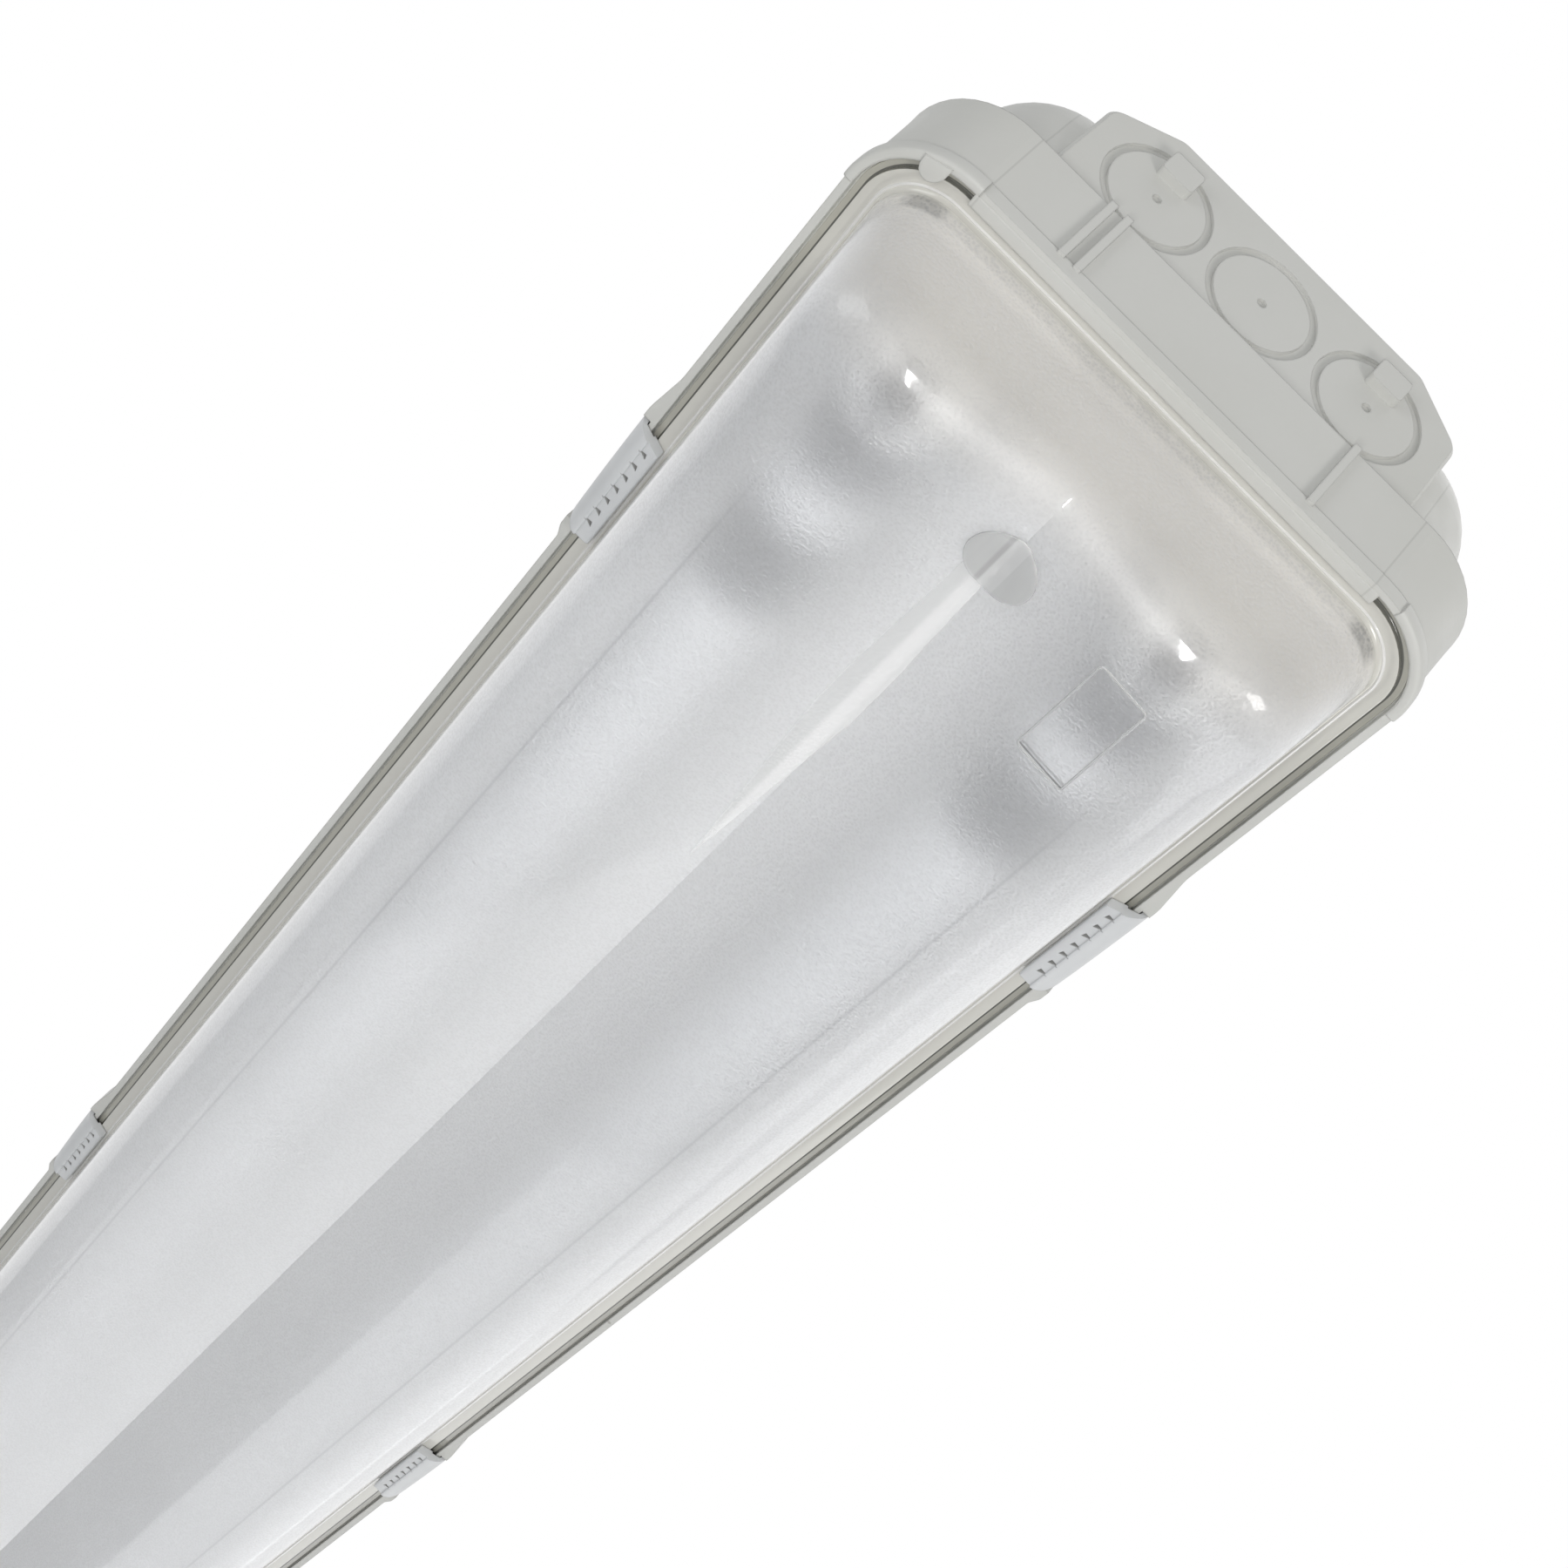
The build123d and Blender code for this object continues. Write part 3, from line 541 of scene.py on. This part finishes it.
def make_object(name, build, material, body="fixture", sharp=SHARP_ANGLE):
    """Mesh object from a bmesh builder, riding on a body, with its edges over an angle kept sharp."""
    shape = bmesh.new()
    build(shape)
    bmesh.ops.remove_doubles(shape, verts=shape.verts, dist=1e-6)
    bmesh.ops.recalc_face_normals(shape, faces=shape.faces)
    mesh = bpy.data.meshes.new(name)
    shape.to_mesh(mesh)
    shape.free()
    mesh.shade_smooth()
    mesh.set_sharp_from_angle(angle=sharp)
    mesh.materials.append(material)
    piece = bpy.data.objects.new(name, mesh)
    bpy.context.scene.collection.objects.link(piece)
    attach(piece, body)
    return piece


def cut_away(piece, build):
    """Piece cut by a built shape, the cut applied to its mesh."""
    shape = bmesh.new()
    build(shape)
    bmesh.ops.recalc_face_normals(shape, faces=shape.faces)
    mesh = bpy.data.meshes.new("cutter")
    shape.to_mesh(mesh)
    shape.free()
    cutter = bpy.data.objects.new("cutter", mesh)
    bpy.context.scene.collection.objects.link(cutter)
    modifier = piece.modifiers.new("cut", "BOOLEAN")
    modifier.operation = "DIFFERENCE"
    modifier.use_self = True
    modifier.object = cutter
    bpy.context.view_layer.update()
    evaluated = piece.evaluated_get(bpy.context.evaluated_depsgraph_get())
    result = bpy.data.meshes.new_from_object(evaluated)
    piece.modifiers.clear()
    old = piece.data
    piece.data = result
    result.set_sharp_from_angle(angle=SHARP_ANGLE)
    bpy.data.meshes.remove(old)
    bpy.data.objects.remove(cutter)
    bpy.data.meshes.remove(mesh)


# Diffuser bowl

CORNER_STEPS = 14
LONG_STEPS = 64
END_STEPS = 40
WALL_STEPS = 6
ROUND_STEPS = 14
FLOOR_STEPS = 16
WALL_START = 3.4 * MM
# Lower than for the other pieces, so that the crease of the valley stays sharp
CREASE_ANGLE = math.radians(24)


def outline_point(spot, inset, radius):
    """Point of the rim outline drawn in by inset, at a spot: the number of a side and a step on it."""
    a = HALF_LENGTH - inset
    b = HALF_WIDTH - inset
    side, step = spot
    quarter = side // 2
    sx, sy = ((1, 1), (-1, 1), (-1, -1), (1, -1))[quarter]
    if side % 2 == 0:
        angle = math.pi / 2 * (quarter + step / CORNER_STEPS)
        return (sx * (a - radius) + radius * math.cos(angle), sy * (b - radius) + radius * math.sin(angle))
    if quarter % 2 == 0:
        return (sx * (a - radius) * (1 - 2 * step / LONG_STEPS), sy * b)
    return (sx * a, sy * (b - radius) * (1 - 2 * step / END_STEPS))


OUTLINE = []
for corner in range(4):
    side_steps = LONG_STEPS if corner % 2 == 0 else END_STEPS
    OUTLINE += [(2 * corner, i) for i in range(CORNER_STEPS)]
    OUTLINE += [(2 * corner + 1, i) for i in range(side_steps)]


def lobe_depth(y, deepest):
    """Depth of the bowl's floor across the fixture: two lobes with a valley between."""
    reach = max(0.0, VALLEY_HALF - abs(y))
    bend = (VALLEY_HALF ** 2 + VALLEY_DEPTH ** 2) / (2 * VALLEY_DEPTH)
    return deepest - bend + math.sqrt(bend ** 2 - reach ** 2)


def lobe_z(y, proud):
    """Level of the bowl's outer floor, with a rise in mm above its surface."""
    return FLANGE_TOP - lobe_depth(y, DOME_DEPTH) - proud * MM


def plan_radius(inset):
    """Plan corner radius of the bowl at an inset: it grows up the wall and closes at the middle."""
    if inset <= DOME_INSET:
        return CORNER_RADIUS - inset
    base = CORNER_RADIUS - DOME_INSET
    grown = base + (DOME_TOP_RADIUS - base) * min(1.0, (inset - DOME_INSET) / DOME_TOP_RUN)
    return max(0.0, min(grown, 0.9 * (HALF_WIDTH - inset)))


def bowl_point(spot, kind, share, inset, deepest, round_over):
    """Point of one face of the bowl, on its wall, its rounding or its floor, a share of the way along it."""
    offset = inset
    for _ in range(3):
        x, y = outline_point(spot, offset, plan_radius(offset))
        depth = lobe_depth(y, deepest)
        centre = depth - round_over
        reach = inset + (round_over + centre * math.sin(DOME_DRAFT)) / math.cos(DOME_DRAFT)
        if kind == "wall":
            level = share * (centre + round_over * math.sin(DOME_DRAFT))
            offset = inset + level * math.tan(DOME_DRAFT)
        elif kind == "round":
            angle = DOME_DRAFT + (math.pi / 2 - DOME_DRAFT) * share
            level = centre + round_over * math.sin(angle)
            offset = reach - round_over * math.cos(angle)
        else:
            offset = reach + (HALF_WIDTH - reach) * share
    x, y = outline_point(spot, offset, plan_radius(offset))
    if kind == "floor":
        level = lobe_depth(y, deepest)
    return (x, y, FLANGE_TOP - level)


def bowl_rings(inset, deepest, round_over, start):
    """Rings of one face of the bowl, from the flange inwards to the middle line."""
    schedule = [("wall", start + (1 - start) * i / WALL_STEPS) for i in range(WALL_STEPS)]
    schedule += [("round", i / ROUND_STEPS) for i in range(ROUND_STEPS + 1)]
    schedule += [("floor", i / FLOOR_STEPS) for i in range(1, FLOOR_STEPS + 1)]
    return [[bowl_point(spot, kind, share, inset, deepest, round_over) for spot in OUTLINE]
            for kind, share in schedule]


def flange_ring(inset, z):
    """Level ring at an inset in mm from the rim outline."""
    return [(*outline_point(spot, inset * MM, plan_radius(inset * MM)), z) for spot in OUTLINE]


def build_bowl(shape):
    """Closed shell: inner face, flange with tongue, ledge and bead, outer face."""
    inner = bowl_rings(DOME_INSET + DOME_WALL, DOME_DEPTH - DOME_WALL, DOME_FILLET - DOME_WALL, 0.0)
    outer = bowl_rings(DOME_INSET, DOME_DEPTH, DOME_FILLET, WALL_START / (DOME_DEPTH - DOME_FILLET))
    tongue = FLANGE_TOP + 1.0 * MM
    top = [(7.5, FLANGE_TOP), (7.5, tongue - 0.3 * MM), (7.2, tongue), (6.3, tongue),
           (6.0, tongue - 0.3 * MM), (6.0, FLANGE_TOP), (2.8, FLANGE_TOP), (2.5, FLANGE_TOP - 0.3 * MM)]
    ledge = FLANGE_BOTTOM + 1.3 * MM
    under = [(2.5, ledge + 0.3 * MM), (2.6, ledge + 0.06 * MM), (2.85, ledge), (4.3, ledge),
             (4.42, ledge - 0.12 * MM), (4.48, FLANGE_BOTTOM + 0.25 * MM), (4.56, FLANGE_BOTTOM + 0.06 * MM),
             (4.8, FLANGE_BOTTOM), (7.55, FLANGE_BOTTOM), (7.7, FLANGE_BOTTOM - 0.2 * MM),
             (7.95, FLANGE_BOTTOM - 0.32 * MM), (8.2, FLANGE_BOTTOM - 0.2 * MM), (8.38, FLANGE_BOTTOM),
             (8.62, FLANGE_BOTTOM - 0.12 * MM), (8.82, FLANGE_BOTTOM - 0.45 * MM)]
    rings = inner[::-1] + [flange_ring(*p) for p in top + under] + outer
    verts = [[shape.verts.new(p) for p in ring] for ring in rings]
    for first, second in zip(verts, verts[1:]):
        join_rings(shape, first, second)


bowl = make_object("diffuser_bowl", build_bowl, materials["diffuser_clear"],
                   sharp=CREASE_ANGLE)
# The clear bowl throws no shadow on what it covers
bowl.visible_shadow = False
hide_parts("diffuser")


# Gate mark: a shallow smooth button across the valley, as shares of its radius and rises in mm

GATE_STEPS = 40
GATE_PROFILE = [(0.0, 0.5), (0.35, 0.5), (0.65, 0.5), (0.86, 0.48), (0.95, 0.42), (0.985, 0.3),
                (1.0, 0.1), (1.0, -0.3)]


def build_gate(shape):
    """Button that follows the valley, with a rounded edge."""
    rings = []
    for share, proud in GATE_PROFILE:
        ring = []
        for i in range(GATE_STEPS):
            angle = 2 * math.pi * i / GATE_STEPS
            x = GATE_X + share * GATE_RADIUS * math.cos(angle)
            y = share * GATE_RADIUS * math.sin(angle)
            ring.append(shape.verts.new((x, y, lobe_z(y, proud))))
        rings.append(ring)
    for first, second in zip(rings, rings[1:]):
        join_rings(shape, first, second)
    edge = rings[-1]
    back = shape.verts.new((GATE_X, 0, lobe_z(0, -0.3)))
    for i in range(GATE_STEPS):
        shape.faces.new((edge[i], edge[(i + 1) % GATE_STEPS], back))


make_object("gate_button", build_gate, gate_plastic)


# Bare plate: a low smooth frame on one lobe, its section in mm across and above the surface

FRAME_SECTION = [(-0.4, -0.25), (-0.26, 0.16), (-0.15, 0.22), (0.15, 0.22), (0.26, 0.16), (0.4, -0.25)]
FRAME_CORNER = 1.2 * MM
FRAME_STEPS = 6


def build_plate_frame(shape):
    """Frame round the plate, following the lobe."""
    rings = []
    for quarter, (sx, sy) in enumerate(((1, 1), (-1, 1), (-1, -1), (1, -1))):
        for i in range(FRAME_STEPS + 1):
            angle = math.pi / 2 * (quarter + i / FRAME_STEPS)
            ring = []
            for out, proud in FRAME_SECTION:
                reach = FRAME_CORNER + out * MM
                x = PLATE_X + sx * (PLATE_LENGTH / 2 - FRAME_CORNER) + reach * math.cos(angle)
                y = PLATE_Y + sy * (PLATE_WIDTH / 2 - FRAME_CORNER) + reach * math.sin(angle)
                ring.append((x, y, lobe_z(y, proud)))
            rings.append(ring)
    sweep(shape, rings, closed=True)


make_object("plate_frame", build_plate_frame, gate_plastic)


# Rim: a thicker lip round each corner, a lip over the flange along each end and a tab at one corner of it.
# In mm: distance out from the rim's outline at the corners, or in from its end, and level from the rim.
# The corner lips run between two angles in degrees, further on where there is a tab.

LIP_SECTION = [(-0.4, 0.7), (0.3, 0.7), (0.55, 0.55), (0.65, 0.3), (0.65, -2.3), (0.55, -2.75), (0.3, -3.1),
               (-0.2, -3.25), (-1.5, -3.25), (-1.8, -3.1), (-1.9, -2.8), (-1.9, -2.4), (-0.4, -2.4)]
LIP_STEPS = 24
LIP_FIRST_PLAIN = 16
LIP_FIRST_TABBED = -4
LIP_LAST = 92
END_LIP_SECTION = [(1.6, -2.45), (1.6, -3.05), (1.8, -3.25), (4.6, -3.25), (5.2, -3.12), (5.5, -2.9),
                   (5.5, -2.72), (2.6, -2.66)]
END_LIP_PLACES = (-58.5, -40, -20, 0, 20, 40, 60)
TAB_OUTLINE = [(1.2, -65.2), (5.0, -65.5), (6.6, -66.1), (7.8, -67.0), (8.5, -68.1), (8.7, -69.1),
               (8.4, -70.2), (7.6, -71.2), (6.2, -71.8), (3.4, -72.0)]
TAB_MIDDLE = (4.5, -68.7)
TAB_LEVELS = ((-2.7, 0.96), (-2.85, 1.0), (-3.35, 1.0), (-3.55, 0.96), (-3.6, 0.86))


def build_lip_corners(shape):
    """Thicker lip round the four corners, stepping down to the plain lip."""
    for sx, sy in ((1, -1), (1, 1), (-1, -1), (-1, 1)):
        first = LIP_FIRST_TABBED if sx * sy < 0 else LIP_FIRST_PLAIN
        rings = []
        for i in range(LIP_STEPS + 1):
            angle = math.radians(first + (LIP_LAST - first) * i / LIP_STEPS)
            on_corner = max(0.0, min(angle, math.pi / 2))
            ring = []
            for out, level in LIP_SECTION:
                reach = CORNER_RADIUS + out * MM
                x = HALF_LENGTH - CORNER_RADIUS + reach * math.cos(on_corner)
                y = HALF_WIDTH - CORNER_RADIUS + reach * math.sin(on_corner)
                y += min(0.0, angle) * CORNER_RADIUS
                x -= max(0.0, angle - math.pi / 2) * CORNER_RADIUS
                ring.append((sx * x, sy * y, RIM_Z + level * MM))
            rings.append(ring)
        sweep(shape, rings)


def build_end_lips(shape):
    """Lip that reaches over the flange along each end."""
    for sx in (1, -1):
        rings = []
        for y in END_LIP_PLACES:
            rings.append([(sx * (HALF_LENGTH - inset * MM), sx * y * MM, RIM_Z + level * MM)
                          for inset, level in END_LIP_SECTION])
        sweep(shape, rings)


def build_lip_tabs(shape):
    """Rounded tab that reaches from the lip over the flange, one at each end."""
    for turn in (1, -1):
        rings = []
        for level, shrink in TAB_LEVELS:
            ring = []
            for inset, y in TAB_OUTLINE:
                inset = TAB_MIDDLE[0] + (inset - TAB_MIDDLE[0]) * shrink
                y = TAB_MIDDLE[1] + (y - TAB_MIDDLE[1]) * shrink
                ring.append((turn * (HALF_LENGTH - inset * MM), turn * y * MM, RIM_Z + level * MM))
            rings.append(ring)
        sweep(shape, rings)


make_object("end_lips", build_end_lips, materials["housing_plastic"])
make_object("lip_corners", build_lip_corners, materials["housing_plastic"])
make_object("lip_tabs", build_lip_tabs, materials["housing_plastic"])


# Clips: rounded barrel outside, hook band inside, with grip notches between. Sizes in mm.

CLIP_LENGTH = 44.4
CLIP_FRONT = 84.1
CLIP_FLOOR = -71.2
CLIP_BAND = -70.75
CLIP_STEPS = 18
BARREL_OUT = 78.9
BARREL_LEVEL = -65.6
BARREL_STEPS = 12
HINGE = (82.5, -62.4)
HINGE_RADIUS = 0.95
PIN_RADIUS = 0.6
PIN_END = CLIP_LENGTH / 2 + 2.5
PIN_PROFILE = ((CLIP_LENGTH / 2 - 3.0, 1.0), (PIN_END - 0.2, 1.0), (PIN_END, 0.7))
PIN_STEPS = 12
FACE_START = 79
FRONT_SLANT = 4.0
REAR_ROUND = 4.6
NOTCH_COUNT = 7
NOTCH_PITCH = 5.2
NOTCH_CORNERS = ((-1.0, 76.8), (0.9, 77.2), (0.6, 79.5))
NOTCH_LEVELS = (CLIP_FLOOR - 0.6, CLIP_FLOOR + 1.6)


def clip_section():
    """Closed outline of the clip across the fixture: distance out and level."""
    points = []
    for degrees in (180, 150, 120, 90, 60, 30, 10):
        angle = math.radians(degrees)
        points.append((HINGE[0] + HINGE_RADIUS * math.cos(angle), HINGE[1] + HINGE_RADIUS * math.sin(angle)))
    points += [(83.75, -62.9), (84.0, -63.6), (CLIP_FRONT, -64.6)]
    for i in range(BARREL_STEPS + 1):
        angle = math.pi / 2 * i / BARREL_STEPS
        points.append((BARREL_OUT + (CLIP_FRONT - BARREL_OUT) * math.cos(angle),
                       BARREL_LEVEL + (CLIP_FLOOR - BARREL_LEVEL) * math.sin(angle)))
    points += [(78.75, CLIP_FLOOR + 0.1), (78.65, CLIP_BAND), (75.5, CLIP_BAND), (75.05, CLIP_BAND + 0.15),
               (74.8, CLIP_BAND + 0.5), (74.8, -68.05), (75.1, -67.75), (78.7, -67.7), (78.9, -67.85),
               (78.95, -68.4), (81.6, -68.4), (81.95, -68.25), (82.1, -67.9), (82.1, -63.4)]
    return points


def clamp(value):
    """Value held between nought and one."""
    return max(0.0, min(1.0, value))


def clip_point(out, level, share):
    """Point of the clip's skin a share of the way from its front to its rear, from its middle."""
    bend = CLIP_FRONT - 0.1 * share - 0.5 * share ** 2
    on_face = clamp((out - FACE_START) / (CLIP_FRONT - FACE_START))
    slant = clamp((83.0 - out) / 8.2)
    front = CLIP_LENGTH / 2 - FRONT_SLANT * slant * clamp((-64.5 - level) / 3)
    rounding = 1 - math.sqrt(max(0.0, 1 - on_face ** 2))
    rear = -CLIP_LENGTH / 2 + REAR_ROUND * rounding * clamp((-63.4 - level) / 4)
    return (front + (rear - front) * share, out + on_face * (bend - CLIP_FRONT), level)


def build_clip(shape, place, side):
    """Clip skin with a hinge pin at each end."""
    section = clip_section()
    rings = []
    for i in range(CLIP_STEPS + 1):
        ring = []
        for out, level in section:
            x, y, z = clip_point(out, level, i / CLIP_STEPS)
            ring.append((place + x * MM, side * y * MM, z * MM))
        rings.append(ring)
    sweep(shape, rings)
    for way in (1, -1):
        pin = []
        for x, share in PIN_PROFILE:
            ring = []
            for i in range(PIN_STEPS):
                angle = 2 * math.pi * i / PIN_STEPS
                out = HINGE[0] + PIN_RADIUS * share * math.cos(angle)
                level = HINGE[1] + PIN_RADIUS * share * math.sin(angle)
                ring.append((place + way * x * MM, side * out * MM, level * MM))
            pin.append(ring)
        sweep(shape, pin)


def build_notches(shape, place, side):
    """Small wedges that cut the grip notches."""
    for i in range(NOTCH_COUNT):
        middle = place / MM + NOTCH_PITCH * (i - NOTCH_COUNT // 2)
        rings = [[((middle + x) * MM, side * y * MM, z * MM) for x, y in NOTCH_CORNERS]
                 for z in NOTCH_LEVELS]
        sweep(shape, rings)


for side_name, side in (("left", -1), ("right", 1)):
    for number in range(1, 5):
        node = f"clip_{side_name}_{number}"
        low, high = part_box(node)
        place = (low.x + high.x) / 2
        piece = make_object(f"{node}_shell", lambda shape: build_clip(shape, place, side),
                            materials["clip_plastic"], node)
        cut_away(piece, lambda shape: build_notches(shape, place, side))
        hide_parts(node)


# Studio

FLOOR_Z = -5.0
FLOOR_REACH = 40.0
END_AIM = (0.65, 0.0, -0.07)
MIDDLE_AIM = (-0.2, 0.0, -0.1)
COOL = (0.985, 0.99, 1.0)

# Name, place, aim, width and height in metres, watts and colour of each light
LIGHTS = (
    ("key", (2.6, 2.3, -1.6), END_AIM, (1.0, 1.0), 36, (1.0, 0.985, 0.965)),
    ("front", (2.03, 0.0, -1.65), (0.75, 0.0, -0.11), (0.05, 0.7), 14, (1, 1, 1)),
    ("fill", (1.9, -2.4, -1.2), END_AIM, (1.6, 1.6), 18, (0.97, 0.985, 1.0)),
    ("under", (-0.5, 1.7, -1.5), MIDDLE_AIM, (1.8, 1.8), 14, COOL),
    ("far", (-3.0, 0.9, -1.3), MIDDLE_AIM, (2.2, 2.2), 12, COOL),
    ("top", (0.6, 0.4, 1.6), (0.3, 0, 0), (1.6, 1.6), 8, (1, 1, 1)),
)


def area_light(name, place, aim, size, power, colour):
    """Soft light that points at a place."""
    data = bpy.data.lights.new(name, "AREA")
    data.shape = "RECTANGLE"
    data.size, data.size_y = size
    data.energy = power
    data.color = colour
    light = bpy.data.objects.new(name, data)
    light.location = place
    light.rotation_euler = (Vector(aim) - Vector(place)).to_track_quat("-Z", "Y").to_euler()
    bpy.context.scene.collection.objects.link(light)


def make_floor():
    """Wide pale floor, as far below the fixture as a high hall's."""
    material, tree, shader = start_material("floor_pale")
    place = position(tree)
    colour = between(tree, noise(tree, place, 3, 5), (0.83, 0.83, 0.83), (0.87, 0.87, 0.87))
    dress(tree, shader, colour, spread(tree, noise(tree, place, 40), 0.75, 0.9))
    bump(tree, shader, noise(tree, place, 300), 0.05, 1.0 * MM)
    mesh = bpy.data.meshes.new("floor")
    corners = [(sx * FLOOR_REACH, sy * FLOOR_REACH, 0) for sx, sy in ((-1, -1), (1, -1), (1, 1), (-1, 1))]
    mesh.from_pydata(corners, [], [(0, 1, 2, 3)])
    mesh.materials.append(material)
    floor = bpy.data.objects.new("floor", mesh)
    floor.location = (0, 0, FLOOR_Z)
    bpy.context.scene.collection.objects.link(floor)


def make_world():
    """White as the camera, gloss and glass see it, softer for the light it gives."""
    world = bpy.data.worlds.new("studio")
    bpy.context.scene.world = world
    world.use_nodes = True
    tree = world.node_tree
    tree.nodes.clear()
    seen = add(tree, "ShaderNodeBackground", Color=(1, 1, 1, 1), Strength=1.0)
    given = add(tree, "ShaderNodeBackground", Color=(0.97, 0.985, 1.0, 1), Strength=0.45)
    path = add(tree, "ShaderNodeLightPath")
    seen_rays = calculate(tree, "MAXIMUM", path.outputs["Is Camera Ray"], path.outputs["Is Glossy Ray"])
    seen_rays = calculate(tree, "MAXIMUM", seen_rays, path.outputs["Is Transmission Ray"])
    mix = add(tree, "ShaderNodeMixShader")
    output = add(tree, "ShaderNodeOutputWorld")
    tree.links.new(seen_rays, mix.inputs[0])
    tree.links.new(given.outputs[0], mix.inputs[1])
    tree.links.new(seen.outputs[0], mix.inputs[2])
    tree.links.new(mix.outputs[0], output.inputs[0])


def make_camera():
    """Camera at the photograph's place, found from the rim, the clips and the cable entries."""
    data = bpy.data.cameras.new("camera")
    data.lens = 76.676
    data.sensor_width = 36
    data.sensor_fit = "HORIZONTAL"
    data.clip_start = 0.01
    camera = bpy.data.objects.new("camera", data)
    right = Vector((0.45768, 0.70929, 0.53614))
    up = Vector((0.449, -0.70484, 0.54918))
    forward = Vector((-0.76742, 0.01062, 0.64106))
    place = Vector((1.25685, -0.00774, -0.60205))
    rows = [(right[i], up[i], -forward[i], place[i]) for i in range(3)]
    camera.matrix_world = Matrix((*rows, (0, 0, 0, 1)))
    bpy.context.scene.collection.objects.link(camera)
    bpy.context.scene.camera = camera


make_floor()
make_world()
for light_values in LIGHTS:
    area_light(*light_values)
make_camera()
bpy.context.scene.view_settings.view_transform = "Standard"
